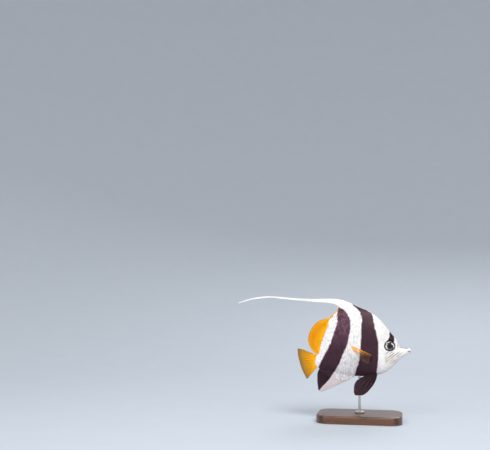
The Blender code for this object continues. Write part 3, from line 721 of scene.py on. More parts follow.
def mouth_finish():
    # A dark red lining, painted darker still as the shade inside the open gape.
    finish = Finish("mouth_lining_painted_shade", Specular_IOR_Level=0.3, Subsurface_Weight=0.05)
    folds = finish.place.noise(1.6, 3.0, 0.6)
    color = blend(folds, rgb(58, 26, 30), rgb(110, 66, 66))
    return finish.done(color, folds.step(0.3, 0.7, 0.25, 0.4), folds.bump(0.1, 0.6))


def scale_finish():
    """Scales: the markings read in part at the scale's root, so that its edge breaks them."""
    finish = Finish(
        "scale_enamel",
        Specular_IOR_Level=0.14,
        Subsurface_Weight=0.04,
        Subsurface_Radius=(0.001, 0.0006, 0.0004),
        Coat_Weight=0.03,
        Coat_Roughness=0.25,
    )
    place = finish.place
    rim = finish.attribute("rim")
    named = {0: 0.6, 4: place, 5: finish.attribute("root", "Vector")}
    middle = place.node("ShaderNodeMix", out=1, named=named, data_type="VECTOR")
    color, dark = finish.markings(middle)
    grooves = place.noise(5.0, 3.0, 0.6)
    x, _, z = place.split()
    body = x.step(31.0, 20.0)
    spread = body.ramp(0.2, dark.ramp(0.75, 0.18))
    shade = (finish.attribute("tone") - 0.5).ramp(spread, 1.0)
    shade = shade * grooves.step(0.2, 0.8, 0.96, 1.03)
    edge = rim.step(0.42, 0.9)
    flank = body * z.step(34.0, 4.0) * x.step(-46.0, -34.0)
    heavy = flank.ramp(0.1, body.ramp(0.2, 0.3))
    color = layered(
        color,
        (1.0, shade.node("ShaderNodeCombineXYZ", shade, shade, shade), "MULTIPLY"),
        (edge * (1.0 - dark) * heavy, rgb(130, 116, 126), "MULTIPLY"),
    )
    color = layered(
        crease_shaded(place, color),
        (rim.step(0.0, 0.35) * rim.step(0.75, 0.4) * dark * 0.2, DARK_BLOOM),
        (edge * dark * 0.5, DARKEST_AND_LOW_SHADE),
    )
    return finish.done(color, grooves.step(0.3, 0.7, 0.36, 0.5), grooves.bump(0.03, 0.6))


def fin_finish(name, clear=None, tint=None, dull=0.5):
    """Membrane with its rays: the markings, painted shade between the rays, and clear where asked.

    clear and tint are functions of the places on the fin: across it counted in rays, mm from
    its root, how much of a ray lies there, and the share of the way to the margin.
    """
    finish = Finish(
        name,
        Specular_IOR_Level=0.12,
        Subsurface_Weight=0.08,
        Subsurface_Radius=(0.001, 0.0006, 0.0003),
        Coat_Weight=0.03,
        Coat_Roughness=0.3,
    )
    color, dark = finish.markings(finish.place)
    across, far, ray = finish.attribute("ray", "Vector").split()
    margin = finish.attribute("margin")
    if tint is not None:
        color = tint(color, across, far, ray, margin)
    streak = finish.place.noise(1.3, 3.0, 0.6)
    color = layered(
        color,
        (streak.step(0.4, 0.75) * 0.3, rgb(214, 200, 190), "MULTIPLY"),
        # painted shade between the rays, weaker over the dark markings
        (ray.step(0.75, 0.1) * dark.ramp(-0.6 * dull, dull), FIN_SHADOW, "MULTIPLY"),
        (ray * dark * 0.12, DARK_BLOOM),
    )
    joints = (far * (2 * math.pi / RAY_JOINT)).math("SINE").step(0.55, 1.0)
    joints = joints * ray * far.step(4.0, 9.0)
    normal = joints.bump(-0.05, 0.7, streak.bump(0.06, 0.5))
    alpha = None if clear is None else clear(across, far, ray, margin)
    return finish.done(color, streak.step(0.3, 0.7, 0.38, 0.52), normal, Alpha=alpha)


def caudal_tint(color, across, far, ray, margin):
    """Dusky olive between the rays, more and more towards the margin."""
    lines = ray.step(0.85, 0.2) * margin.step(0.2, 0.6) * 0.8
    color = blend(margin.step(0.05, 0.3), color, rgb(255, 178, 0))
    return blend((margin.step(0.55, 0.95) * 0.85).most(lines), color, OLIVE)


def banner_tint(color, across, far, ray, margin):
    """White all along, a little warmer by the spine."""
    return blend(ray.step(0.2, 0.9) * 0.3, rgb(250, 249, 248), rgb(240, 234, 228))


def anal_tint(color, across, far, ray, margin):
    """A greyer, faintly pink white, most near the margin."""
    share = margin.step(0.2, 0.9).ramp(0.45, 0.15)
    return blend(share, color, rgb(214, 200, 205), "MULTIPLY")


def dorsal_tint(color, across, far, ray, margin):
    """Fine brown lines between the rays near the margin, and a dusky edge."""
    lines = ray.step(0.75, 0.1) * margin.step(0.25, 0.85) * 0.8
    dusk = margin.step(0.95, 1.0) * 0.5
    return layered(color, (lines, rgb(150, 92, 12)), (dusk, rgb(120, 74, 16)))


def first_ray(across, margin):
    """How much of the pectoral fin's broad first ray lies at a place."""
    return margin.ramp(-0.8, across).step(0.6, 0.1)


def pectoral_tint(color, across, far, ray, margin):
    """Dark like the skin at the base, then bright first rays and an orange film going olive."""
    soft = blend(across.step(1.2, 5.0), rgb(252, 172, 40), OLIVE)
    bright = blend(first_ray(across, margin), soft, rgb(255, 172, 4))
    return blend(far.step(3.6, 1.6), bright, color)


def tail_clear(across, far, ray, margin):
    return 1.0 - margin.step(0.6, 1.0) * ray.step(1.0, 0.2) * 0.5


def pectoral_clear(across, far, ray, margin):
    """Opaque at the base and along the first ray, else a film that the rays cross."""
    film = (across.step(6.0, 1.8) * margin.step(0.35, 0.8)).ramp(0.4, 0.04)
    return first_ray(across, margin).most(far.step(3.0, 1.2), ray.ramp(0.12, film))


def iris_finish():
    """Iris: a broken silver ring about a large pupil, dark above where the bar crosses it."""
    finish = Finish("iris", Specular_IOR_Level=0.15)
    x, _, z = finish.place.split()
    ex = x - EYE_CENTRE[0]
    ez = z - EYE_CENTRE[1]
    far = eye_distance(x, z)
    turn = ez.math("ARCTAN2", ex)
    grain = finish.place.noise(1.6, 4.0, 0.65)
    spokes = far.node("ShaderNodeCombineXYZ", turn * 9.0, far * 0.5, 0.0).noise(1.0, 3.0, 0.6)
    wander = (grain - 0.5) * 1.1
    r = far + wander
    ahead_turn = wander.ramp(0.3, turn)
    rear_turn = wander.ramp(0.3, ez.math("ARCTAN2", ex * -1.0))
    rear = rear_turn.step(-1.0, -0.75) * rear_turn.step(0.85, 0.65)
    rear = rear * r.step(3.7, 4.0) * r.step(6.1, 5.7)
    rear = rear * abs(rear_turn - 0.4).step(0.16, 0.06).ramp(-0.8, 1.0)
    slant = abs(ahead_turn.ramp(-1.5, 5.5 - r))
    ahead = slant.step(0.95, 0.6) * ahead_turn.step(-0.5, -0.2)
    ahead = ahead * ahead_turn.step(1.15, 0.95) * far.step(3.5, 3.7)
    below = ez.step(-2.6, -3.6) * r.step(4.1, 4.5) * r.step(5.3, 4.9) * 0.42
    silver = rear.most(ahead, below)
    bright = blend(spokes.step(0.3, 0.55), rgb(226, 222, 220), rgb(255, 254, 252))
    dull = blend(spokes, rgb(30, 14, 21), rgb(82, 48, 56))
    color = layered(
        dull,
        (silver, bright),
        (far.step(3.3, 3.4) * far.step(3.75, 3.5) * 0.35, rgb(150, 118, 90)),
        (far.step(6.0, 6.6), DARKEST_AND_LOW_SHADE),
        (far.step(3.4, 3.3), rgb(3, 3, 5)),
    )
    rough = grain.step(0.3, 0.7, 0.3, 0.5)
    return finish.done(color, rough, spokes.bump(0.06, 0.4), Metallic=silver * 0.1)


def cornea_finish():
    """Clear dome: see-through, with a gloss that grows to its rim."""
    finish = Finish("cornea", Metallic=1.0, IOR=CORNEA_IOR)
    film = finish.place.noise(0.4, 2.0)
    clear = film.node("ShaderNodeBsdfTransparent")
    glint = film.node("ShaderNodeFresnel", CORNEA_IOR).ramp(0.9, 0.005)
    mix = film.node("ShaderNodeMixShader", glint, clear, Wire(finish.shader.outputs[0]))
    feed(finish.tree.nodes["Material Output"].inputs["Surface"], mix)
    color = blend(film, rgb(244, 246, 250), rgb(250, 250, 252))
    return finish.done(color, film.step(0.3, 0.7, 0.015, 0.04))


def wood_finish():
    finish = Finish("dark_varnished_wood", Coat_Weight=0.4, Coat_Roughness=0.18)
    stretched = finish.place.stretch(0.03, 0.35, 0.35)
    _, y, _ = stretched.split()
    rings = stretched.noise(1.2, 3.0, 0.55).ramp(9.0, y * 2.2).math("SINE")
    pores = finish.place.stretch(0.12, 2.4, 2.4).noise(1.0, 4.0, 0.7)
    color = blend(rings.step(-1.0, 1.0), rgb(58, 34, 22), rgb(104, 66, 42))
    color = blend(pores.step(0.52, 0.72) * 0.6, color, rgb(32, 18, 12))
    return finish.done(color, pores.step(0.3, 0.7, 0.34, 0.5), pores.bump(0.05, 0.4))


def rod_finish():
    finish = Finish("brushed_rod", Metallic=1.0)
    lines = finish.place.stretch(0.4, 0.4, 14.0).noise(1.0, 3.0, 0.6)
    color = blend(lines, rgb(186, 182, 174), rgb(220, 216, 208))
    return finish.done(color, lines.step(0.3, 0.7, 0.24, 0.38), lines.bump(0.02, 0.4))


def floor_finish():
    finish = Finish("pale_floor", Specular_IOR_Level=0.05)
    grain = finish.place.noise(0.02, 3.0)
    return finish.done(blend(grain, rgb(178, 186, 196), rgb(183, 190, 200)), 0.95)


def place_camera():
    """Camera whose frame shows the fish's zero at ZERO_PIXEL, PIXEL_SIZE mm to a pixel."""
    data = bpy.data.cameras.new("camera")
    data.lens = LENS
    data.sensor_width = SENSOR
    data.sensor_fit = "HORIZONTAL"
    data.clip_start = 0.01
    data.clip_end = 50.0
    camera = add_object("camera", data)
    bpy.context.scene.camera = camera
    focal = FRAME_WIDTH * LENS / SENSOR
    right = (ZERO_PIXEL[0] - FRAME_WIDTH / 2) / focal
    up = (FRAME_HEIGHT / 2 - ZERO_PIXEL[1]) / focal
    long = math.sqrt(right * right + up * up + 1)
    down = math.radians(SEEN_FROM_ABOVE)
    ahead = math.radians(SEEN_FROM_AHEAD)
    pitch = math.asin(-long * math.sin(down) / math.hypot(1, up)) - math.atan(up)
    forward = math.cos(pitch) - up * math.sin(pitch)
    level = math.cos(down)
    way = Vector((-math.sin(ahead) * level, math.cos(ahead) * level, -math.sin(down)))
    camera.location = Vector((0, 0, LIFT * MM)) - way * (focal * PIXEL_SIZE * long * MM)
    camera.rotation_euler = (math.pi / 2 + pitch, 0.0, ahead + math.atan2(right, forward))


def build_stage(material):
    """A plain pale floor that rises in a curve all round."""
    profile = [(0.0, 300.0), (0.0, FLOOR_FLAT)]
    for angle in np.radians(np.linspace(0, 72, 37)[1:]):
        radius = FLOOR_FLAT + FLOOR_BEND * math.sin(angle)
        profile.append((FLOOR_BEND * (1 - math.cos(angle)), radius))
    floor = turned("floor", profile, (0, 0, -LIFT), (0, 0, 1), material, open_end=True)


def soft_light(name, spot, size, power, color):
    data = bpy.data.lights.new(name, "AREA")
    data.shape = "DISK"
    data.size = size
    data.energy = power
    data.color = color
    lamp = add_object(name, data)
    lamp.visible_camera = False
    lamp.location = spot
    way = Vector(LIGHTS_AIM) - Vector(spot)
    lamp.rotation_euler = way.to_track_quat("-Z", "Y").to_euler()


def build_light():
    world = bpy.data.worlds.new("studio")
    bpy.context.scene.world = world
    world.use_nodes = True
    background = world.node_tree.nodes["Background"]
    background.inputs["Color"].default_value = (1.0, 0.99, 0.975, 1.0)
    background.inputs["Strength"].default_value = 0.8
    soft_light("key", (0.4, -0.95, 1.25), 0.8, 17.0, (1.0, 0.99, 0.97))
    soft_light("fill", (-0.7, -1.3, 1.1), 0.9, 6.5, (1.0, 1.0, 1.0))
    soft_light("rear", (0.2, 1.2, 1.2), 0.9, 8.0, (1.0, 1.0, 1.0))
    bpy.context.scene.view_settings.view_transform = "Standard"


def closed_tube(rings, start_tip, end_tip=None):
    """Points and faces of rings of points, closed by fans to a tip at the start and the end."""
    count, segments = np.shape(rings)[:2]
    points = list(np.reshape(rings, (-1, 3)))
    index = np.arange(count * segments).reshape(count, segments)
    faces = list(grid_faces(np.concatenate([index, index[:, :1]], axis=1)))
    for ring, tip in ((index[-1], end_tip), (index[0][::-1], start_tip)):
        if tip is not None:
            faces += [(a, b, len(points)) for a, b in zip(ring, np.roll(ring, -1))]
            points.append(np.asarray(tip, float))
    return np.array(points), faces


def arc(start, end, count, along, radius, foot=0.0):
    """(along, radius) points of a profile over angles in degrees."""
    angles = np.radians(np.linspace(start, end, count))
    return [(foot + along * math.sin(a), radius * math.cos(a)) for a in angles]


def turned(name, profile, origin, axis, *materials, sharp=50.0, open_end=False):
    """A piece turned about an axis from a profile of (along, radius)."""
    axis = unit(np.array(axis, float))
    side = unit(np.cross(axis, (0, 0, 1) if abs(axis[2]) < 0.9 else (1, 0, 0)))
    up = np.cross(axis, side)
    angles = np.arange(SEGMENTS) * 2 * math.pi / SEGMENTS
    spokes = np.cos(angles)[:, None] * side + np.sin(angles)[:, None] * up
    rings = [origin + along * axis + radius * spokes for along, radius in profile]
    start = origin + profile[0][0] * axis
    end = None if open_end else origin + profile[-1][0] * axis
    piece = new_piece(name, *closed_tube(rings, start, end), *materials, sharp=sharp)
    if not open_end:
        face_outwards(piece.data)
    return piece


def face_outwards(mesh):
    """Turns a closed mesh right side out where its signed volume is negative."""
    mesh.calc_loop_triangles()
    corners = np.zeros(len(mesh.loop_triangles) * 3, np.int32)
    mesh.loop_triangles.foreach_get("vertices", corners)
    spots = np.zeros(len(mesh.vertices) * 3, np.float32)
    mesh.vertices.foreach_get("co", spots)
    p = spots.reshape(-1, 3)[corners.reshape(-1, 3)]
    p = p - spots.reshape(-1, 3).mean(axis=0)
    if np.einsum("ij,ij->i", p[:, 0], np.cross(p[:, 1], p[:, 2])).sum() < 0:
        mesh.flip_normals()


def flank_frame(x, z, side):
    """Point on the plain flank at (x, z) and the way out of it."""
    def at(px, pz):
        return np.array([px, side * float(plain_half_width(px, share_at(px, pz))), pz])

    ahead = at(x + 0.5, z) - at(x - 0.5, z)
    above = at(x, z + 0.5) - at(x, z - 0.5)
    out = unit(np.cross(ahead, above))
    return at(x, z), out * np.sign(out[1] * side)


def skin_stations():
    """x and height share over the skin's rows from tail to snout, and which lie behind the gills."""
    share = np.sin(np.linspace(math.pi / 2, -math.pi / 2, SIDE_COLUMNS))
    edge = gill_edge(share)
    rows = [np.full(len(share), x) for x in np.linspace(SKIN_END, TRUNK_STRAIGHT, 82)[:-1]]
    for t in 1 - (1 - np.linspace(0, 1, 24)) ** 1.5:
        rows.append(TRUNK_STRAIGHT + (edge - 0.12 - TRUNK_STRAIGHT) * t)
    behind = len(rows)
    rows += [edge + (HEAD_STRAIGHT - edge) * t for t in np.linspace(0, 1, 62)[:-1] ** 1.15]
    rows += [np.full(len(share), x) for x in np.linspace(HEAD_STRAIGHT, SNOUT_END, 76)]
    x = np.array(rows)
    return x, np.broadcast_to(share, x.shape), (np.arange(len(rows)) < behind)[:, None]


def build_skin(*materials):
    """One closed skin from tail stalk to lips, with sockets and a mouth cut into it."""
    x, share, behind = skin_stations()
    left = np.stack([x, plain_half_width(x, share), height_at(x, share)], axis=-1)
    ring = np.concatenate([left, (left * (1, -1, 1))[:, ::-1]], axis=1)
    around = np.roll(ring, -1, axis=1) - np.roll(ring, 1, axis=1)
    out = unit(np.cross(around, np.gradient(ring, axis=0)))
    out = out * np.sign(out[:, 10, 1].mean())
    lift = relief(x, share, behind)
    lift = np.concatenate([lift, lift[:, ::-1]], axis=1) - SKIN_INSET
    ring = ring + out * lift[..., None]
    lips = ring[-1].mean(axis=0)
    caps = []
    for angle in np.linspace(0, math.pi / 2, 8)[1:-1]:
        cap = ring[-1].copy()
        cap[:, 1:] = lips[1:] + (ring[-1][:, 1:] - lips[1:]) * math.cos(angle) ** 0.6
        cap[:, 0] += 0.75 * math.sin(angle)
        caps.append(cap)
    rings = np.concatenate([ring, np.array(caps)])
    tips = (rings[0].mean(axis=0) - (0.3, 0, 0), rings[-1].mean(axis=0) + (0.05, 0, 0))
    skin = new_piece("skin", *closed_tube(rings, *tips), *materials)
    face_outwards(skin.data)
    for side in (1, -1):
        spot, way = flank_frame(*EYE_CENTRE, side)
        profile = arc(82, 4, 12, -5.0, EYE_RADIUS + 0.08)
        profile += [(0.0, EYE_RADIUS + 0.08), (6.0, EYE_RADIUS + 0.5)]
        cut(skin, turned("socket_cutter", profile, spot, way), 0)
    cut(skin, mouth_wedge(6.0, 1.0, MOUTH_GAPE), 1)
    skin.data.shade_smooth()
    skin.data.set_sharp_from_angle(angle=math.radians(38))
    return skin


def mouth_wedge(half_width, end, gape):
    """A wedge that opens forward from the corner of the mouth, as far as the share end of the way."""
    corner = np.array(MOUTH_CORNER)
    way = np.array(MOUTH_FRONT) - corner
    points = []
    for t in np.linspace(0, end, WEDGE_STEPS):
        half = 0.1 + (gape / 2 - 0.1) * t**0.8
        x, z = corner + way * t + (0.0, 0.45 * t * (1 - t))
        for y in (-half_width, half_width):
            points += [(x, y, z - half), (x, y, z + half)]
    faces = [(0, 1, 3, 2)]
    last = 4 * (WEDGE_STEPS - 1)
    for a in range(0, last, 4):
        b = a + 4
        faces += [(a, a + 2, b + 2, b), (a + 1, b + 1, b + 3, a + 3)]
        faces += [(a, b, b + 1, a + 1), (a + 2, a + 3, b + 3, b + 2)]
    faces.append((last, last + 2, last + 3, last + 1))
    wedge = new_piece("mouth_fold", points, faces)
    face_outwards(wedge.data)
    return wedge


def build_mouth_fold(material):
    """The fold of skin and the tongue that close the gape in the middle, a little behind the lips."""
    fold = mouth_wedge(0.9, 0.62, MOUTH_GAPE + 0.5)
    fold.data.materials.append(material)
    fold.data.shade_smooth()
    keep(fold, "white_skin", "head")


def cut(piece, tool, slot):
    """Cuts a tool out of a piece and gives the cut faces a material slot of the piece."""
    for material in piece.data.materials:
        tool.data.materials.append(material)
    tool.data.polygons.foreach_set("material_index", np.full(len(tool.data.polygons), slot))
    step = piece.modifiers.new("cut", "BOOLEAN")
    step.operation = "DIFFERENCE"
    step.solver = "EXACT"
    step.object = tool
    graph = bpy.context.evaluated_depsgraph_get()
    mesh = bpy.data.meshes.new_from_object(piece.evaluated_get(graph))
    piece.modifiers.remove(step)
    old = piece.data
    piece.data = mesh
    bpy.data.meshes.remove(old)
    bpy.data.objects.remove(tool)


def top_of(x):
    """Upper edge of the scaled side, over the tail fin's base too."""
    return np.where(x < TAIL_BASE, tail_scaled_top(x), back(x))


def low_of(x):
    return np.where(x < TAIL_BASE, tail_scaled_low(x), belly(x))


def widest_z(x):
    return low_of(x) + (1 + WIDEST_SHARE) / 2 * (top_of(x) - low_of(x))


def leant(x, rise):
    """x of a column of scales that starts at x on the widest line, rise mm above it."""
    near = ROWS_MEET_AHEAD - x
    far = x - ROWS_MEET_BEHIND
    ahead = near - np.sqrt(np.maximum(near**2 - rise**2, (0.4 * near) ** 2))
    abaft = far - np.sqrt(np.maximum(far**2 - rise**2, (0.4 * far) ** 2))
    fore = 0.85 * soft_step((x - 2.0) / 34.0)
    rear = 0.8 * soft_step((-12.0 - x) / 24.0) * soft_step((x + 58.0) / 10.0)
    slope = (widest_z(x + 2.0) - widest_z(x - 2.0)) / 4.0 * soft_step((x + 60.0) / 8.0)
    return x + fore * ahead - rear * abaft - 0.8 * slope * rise


def reach(x, middle, way):
    """How far a column goes from the widest line up (way 1) or down (way -1) to the outline."""
    rise = np.linspace(0, 80, 321)
    column = leant(x, way * rise)
    left = top_of(column) - middle - rise if way > 0 else middle - rise - low_of(column)
    k = int(np.argmax(left < 0))
    return rise[k - 1] + (rise[k] - rise[k - 1]) * left[k - 1] / (left[k - 1] - left[k])


def climb_on(x, y, z, height, above):
    """Points up a fin from the end of a column: x, y, z and mm climbed."""
    far = np.linspace(0.1, height, 14)
    lean = float(slope_of(back if above else belly, x[-1]))
    way = unit(np.array([x[-1] - x[-2], z[-1] - z[-2]]))
    normal = unit(np.array([-lean, 1.0])) * (1 if above else -1)
    way = way / max(float(way @ normal), 0.5)
    half = np.minimum(fin_half(far) + 0.1 + 0.2 * soft_step(far / 2.5), y[-1] + 0.1)
    return x[-1] + way[0] * far, half, z[-1] + way[1] * far, far


Section = namedtuple("Section", "along x y z share climb")


def section(x):
    """One side's line from the anal fin's base over the flank to the dorsal fin's.

    It crosses the rows of scales squarely. Its fields are the length along it, zero at the
    widest height, then x, y, z, the height share and how far the line has climbed a fin.
    """
    middle = float(widest_z(x))
    sides = []
    for way in (1, -1):
        rise = reach(x, middle, way) * np.sin(np.linspace(0, math.pi / 2, 91))
        px = leant(x, way * rise)
        pz = middle + way * rise
        share = np.clip(2 * (pz - low_of(px)) / (top_of(px) - low_of(px)) - 1, -1, 1)
        share[-1] = way
        py = plain_half_width(px, share)
        by_tail = np.maximum(py * (px > -63.5), fin_half(TAIL_BASE - px) + 0.3)
        line = [px, np.where(px < TAIL_BASE, by_tail, py), pz, 0 * px]
        if way > 0 and SOFT_END < px[-1] < DORSAL_START:
            more = climb_on(*line[:3], float(dorsal_sheath(px[-1])), True)
        elif way < 0 and ANAL_END < px[-1] < ANAL_START:
            more = climb_on(*line[:3], float(anal_sheath(px[-1])), False)
        else:
            more = ([], [], [], [])
        x_y_z_climb = [np.concatenate(pair) for pair in zip(line, more)]
        share = np.concatenate([share, way * (1 + np.asarray(more[3]) / 100)])
        sides.append(x_y_z_climb[:3] + [share] + x_y_z_climb[3:])
    upper, lower = sides
    lines = [np.concatenate([low[:0:-1], up]) for up, low in zip(upper, lower)]
    along = run(np.column_stack(lines[:3]))
    return Section(along - along[len(lower[0]) - 1], *lines)


def on_section(line, along):
    """Points at lengths along a section."""
    return np.column_stack([np.interp(along, line.along, part) for part in (line.x, line.y, line.z)])


def scale_columns():
    """x of the columns of scales, from the snout to the tail, half a pitch apart."""
    out = []
    x = SCALED_FROM
    while x > SCALED_TO:
        out.append(x)
        x -= float(scale_pitch(x)) * 0.5
    return out


def smallness(x, share, climb):
    """How much smaller a scale is by the back, the belly and up a fin than on the flank."""
    up = soft_step((share - 0.6) / 0.4)
    down = soft_step((-share - 0.55) / 0.45)
    ahead = soft_step((x - 6.0) / 16.0)
    small = 1 - up * (0.16 + 0.22 * ahead) - down * (0.12 + 0.2 * ahead)
    return small * (1 - 0.2 * soft_step(climb / SHEATH_FAR))


def scale_rows(x, line):
    """Row numbers along a section: one more for each row of scales above the widest line."""
    small = smallness(line.x, np.clip(line.share, -1, 1), line.climb)
    row = ROW_SHARE * float(scale_pitch(x)) * (small[1:] + small[:-1]) / 2
    count = np.concatenate([[0], np.cumsum(np.diff(line.along) / row)])
    return count - np.interp(0.0, line.along, count)


def lie_of(spot, share):
    """The way a fin's scales point: along its rays."""
    way = np.zeros((len(spot), 3))
    way[:, 0] = -0.75
    way[:, 2] = np.where(share > 0, 0.66, -0.66)
    fan = unit(np.column_stack([spot[:, 0] - TAIL_FOCUS[0], 0 * share, spot[:, 2] - TAIL_FOCUS[1]]))
    return np.where(spot[:, :1] < TAIL_FAN, fan, way)


def tailward_step(x, row):
    """From the places of rows COLUMN_STEP ahead of x to their places as far behind it."""
    ahead = section(x + COLUMN_STEP)
    abaft = section(x - COLUMN_STEP)
    fore = np.interp(row, scale_rows(x + COLUMN_STEP, ahead), ahead.along)
    aft = np.interp(row, scale_rows(x - COLUMN_STEP, abaft), abaft.along)
    return on_section(abaft, aft) - on_section(ahead, fore)


def shrunk(size, here, along, share, past, behind):
    """Sizes of scales, smaller by the front of the dorsal fin and in the slit behind the gills."""
    by_ridge = (here.x[-1] > -6.0) & (here.along[-1] - along < 2.6)
    size = np.where(by_ridge, size * 0.72, size)
    slit = (share < 0.2) & (share > -0.97) & ~behind & (past < 0.8 * size)
    return np.where(slit, size * np.clip((past + 0.25) / (0.8 * size), 0.35, 1), size)


def scales_fit(here, along, share, px, spot, size):
    """Which scales stay clear of the eye, mouth, snout, nostrils, bare edges and tail fin."""
    x = spot[:, 0]
    z = spot[:, 2]
    fits = np.hypot(x - EYE_CENTRE[0], z - EYE_CENTRE[1]) > EYE_BARE + 0.4 * size
    fits &= (px <= 50) | (distance_to((MOUTH_CORNER, MOUTH_FRONT), x, z) >= 7.5)
    fits &= (px <= 51.5) | (share <= 0.72)
    fits &= (here.x[-1] <= DORSAL_START - 1) | (here.along[-1] - along >= 0.75 * size)
    fits &= (here.x[0] <= ANAL_START - 1) | (along - here.along[0] >= 0.75 * size)
    fits &= px > -65.5 + 1.6 * np.cos(along * 2.3)
    for nx, nz, radius in NOSTRILS:
        fits &= np.hypot(x - nx, z - nz) > 1.7 * radius + 0.5 * size
    return fits


def scale_places():
    """Roots, outward and tailward ways, sizes, lengths and unwrapped places of one side's scales."""
    rng = np.random.default_rng(7)
    found = []
    for j, x in enumerate(scale_columns()):
        here = section(x)
        rows = scale_rows(x, here)
        k = np.arange(math.ceil(rows[0]), math.floor(rows[-1]) + 1)
        k = k[(j + k) % 2 == 0]
        if len(k) == 0:
            continue
        row = k + rng.normal(0, 0.05 if x < 34 else 0.08, len(k))
        along = np.interp(row, rows, here.along)
        along = np.clip(along, here.along[0] + 0.02, here.along[-1] - 0.02)
        share = np.interp(along, here.along, here.share)
        climb = np.interp(along, here.along, here.climb)
        held = np.clip(share, -1, 1)
        spot = on_section(here, along)
        px = spot[:, 0]
        flatwise = tailward_step(x, row)
        fan = soft_step(climb / SHEATH_FAR) * 0.5 + soft_step((TAIL_FAN - px) / 7.0)
        fan = np.clip(fan, 0, 1)[:, None]
        tailward = unit(unit(flatwise) * (1 - fan) + lie_of(spot, share) * fan)
        upward = on_section(here, along + 0.25) - on_section(here, along - 0.25)
        upward[np.linalg.norm(upward, axis=1) < 1e-6] = (0, 0, 1)
        out = unit(np.cross(upward, -flatwise))
        out *= np.where(out[:, 1] < 0, -1, 1)[:, None]
        past = px - gill_edge(held)
        behind = past < 0.3
        lift = np.where(np.abs(share) <= 1, relief(px, held, behind), 0)
        spot = spot + out * (lift - SKIN_INSET * (climb <= 0))[:, None]
        small = smallness(px, held, climb)
        stretch = np.linalg.norm(flatwise, axis=1) / (2 * COLUMN_STEP)
        length = np.clip(stretch / small, 0.85, np.where(climb > 0, 1.75, 1.45))
        size = shrunk(float(scale_pitch(x)) * small, here, along, share, past, behind)
        fits = scales_fit(here, along, share, px, spot, size)
        wrap = np.column_stack([np.full(len(along), x), along])
        found.append([part[fits] for part in (spot, out, tailward, size, length, wrap)])
    return [np.concatenate(parts) for parts in zip(*found)]


def leaf_object():
    """One scale of pitch 1: a thin domed plate, its rounded edge to +X, its root sunk."""
    angles = np.radians(np.linspace(-84, 84, 7))
    ring = [(0.1 + 0.62 * math.cos(a), 0.93 * math.sin(a)) for a in angles]
    ring += [(-0.38, 0.55), (-0.5, 0.0), (-0.38, -0.55)]
    points = [(x, y, LEAF_TILT * (x + 0.42)) for x, y in ring]
    for x, y, dome in ((0.42, 0.0, 0.05), (0.2, 0.42, 0.045), (0.2, -0.42, 0.045), (-0.15, 0.0, 0.03)):
        points.append((x, y, LEAF_TILT * (x + 0.42) + dome))
    rear, up, down, root = 10, 11, 12, 13
    top = [(3, 4, rear), (3, rear, 2), (4, up, rear), (2, rear, down), (rear, up, root)]
    top += [(rear, root, down), (4, 5, up), (5, 6, up), (6, 7, up), (7, root, up), (7, 8, root)]
    top += [(8, 9, root), (9, down, root), (9, 0, down), (0, 1, down), (1, 2, down)]
    bottom = [(9, 8, 0), (8, 7, 6), (8, 6, 0), (0, 6, 1), (6, 5, 1), (1, 5, 2), (5, 4, 2), (2, 4, 3)]
    mesh = bpy.data.meshes.new("scale_leaf")
    mesh.from_pydata([Vector(p) * MM for p in points], [], top + bottom)
    mesh.shade_smooth()
    face_outwards(mesh)
    mesh.set_sharp_from_angle(angle=math.radians(60))
    leaf = mesh.uv_layers.new(name="leaf")
    for polygon in mesh.polygons:
        under = polygon.index >= len(top)
        for loop in polygon.loop_indices:
            x, y, _ = points[mesh.loops[loop].vertex_index]
            u = (x + 0.5) / 1.22
            v = (y + 0.93) / 1.86
            leaf.data[loop].uv = (u - 0.5, (0.7 + 0.3 * v if under else 0.65 * v) - 0.5)
    give(mesh, "rim", "FLOAT", [max(0.0, (x + 0.1) / 0.82) for x, _, _ in points])
    return add_object("scale_leaf", mesh)


def scale_tree(leaf, finish):
    """Lays a scale on each point, turned along its lie, and keeps a patch of the unwrap for it."""
    tree = bpy.data.node_groups.new("lay_scales", "GeometryNodeTree")
    tree.interface.new_socket("Places", in_out="INPUT", socket_type="NodeSocketGeometry")
    tree.interface.new_socket("Seed", in_out="INPUT", socket_type="NodeSocketInt")
    tree.interface.new_socket("Coat", in_out="OUTPUT", socket_type="NodeSocketGeometry")
    places, seed = (Wire(out) for out in tree.nodes.new("NodeGroupInput").outputs[:2])

    def stored(name):
        return add_node(tree, "GeometryNodeInputNamedAttribute", name, data_type="FLOAT_VECTOR")

    chance = places.node(
        "FunctionNodeRandomValue",
        (-RUFFLE, -RUFFLE, -RUFFLE),
        (RUFFLE, RUFFLE, RUFFLE),
        named={"Seed": seed},
        data_type="FLOAT_VECTOR",
    )
    ruffled = places.node(
        "FunctionNodeRotateRotation",
        places.node("FunctionNodeEulerToRotation", stored("turn")),
        places.node("FunctionNodeEulerToRotation", chance),
        rotation_space="LOCAL",
    )
    scale = places.node("GeometryNodeObjectInfo", leaf, out="Geometry")
    named = {"Instance": scale, "Rotation": ruffled, "Scale": stored("grow")}
    laid = places.node("GeometryNodeInstanceOnPoints", places, named=named)
    small = stored("leaf").stretch(PATCH, PATCH, PATCH)
    spot = places.node("ShaderNodeVectorMath", stored("patch"), small, operation="ADD")
    mapped = places.node(
        "GeometryNodeStoreNamedAttribute",
        places.node("GeometryNodeRealizeInstances", laid),
        named={"Name": "OFBake", "Value": spot},
        data_type="FLOAT2",
        domain="CORNER",
    )
    coat = places.node("GeometryNodeSetMaterial", mapped, named={"Material": finish})
    feed(tree.nodes.new("NodeGroupOutput").inputs[0], coat)
    return tree


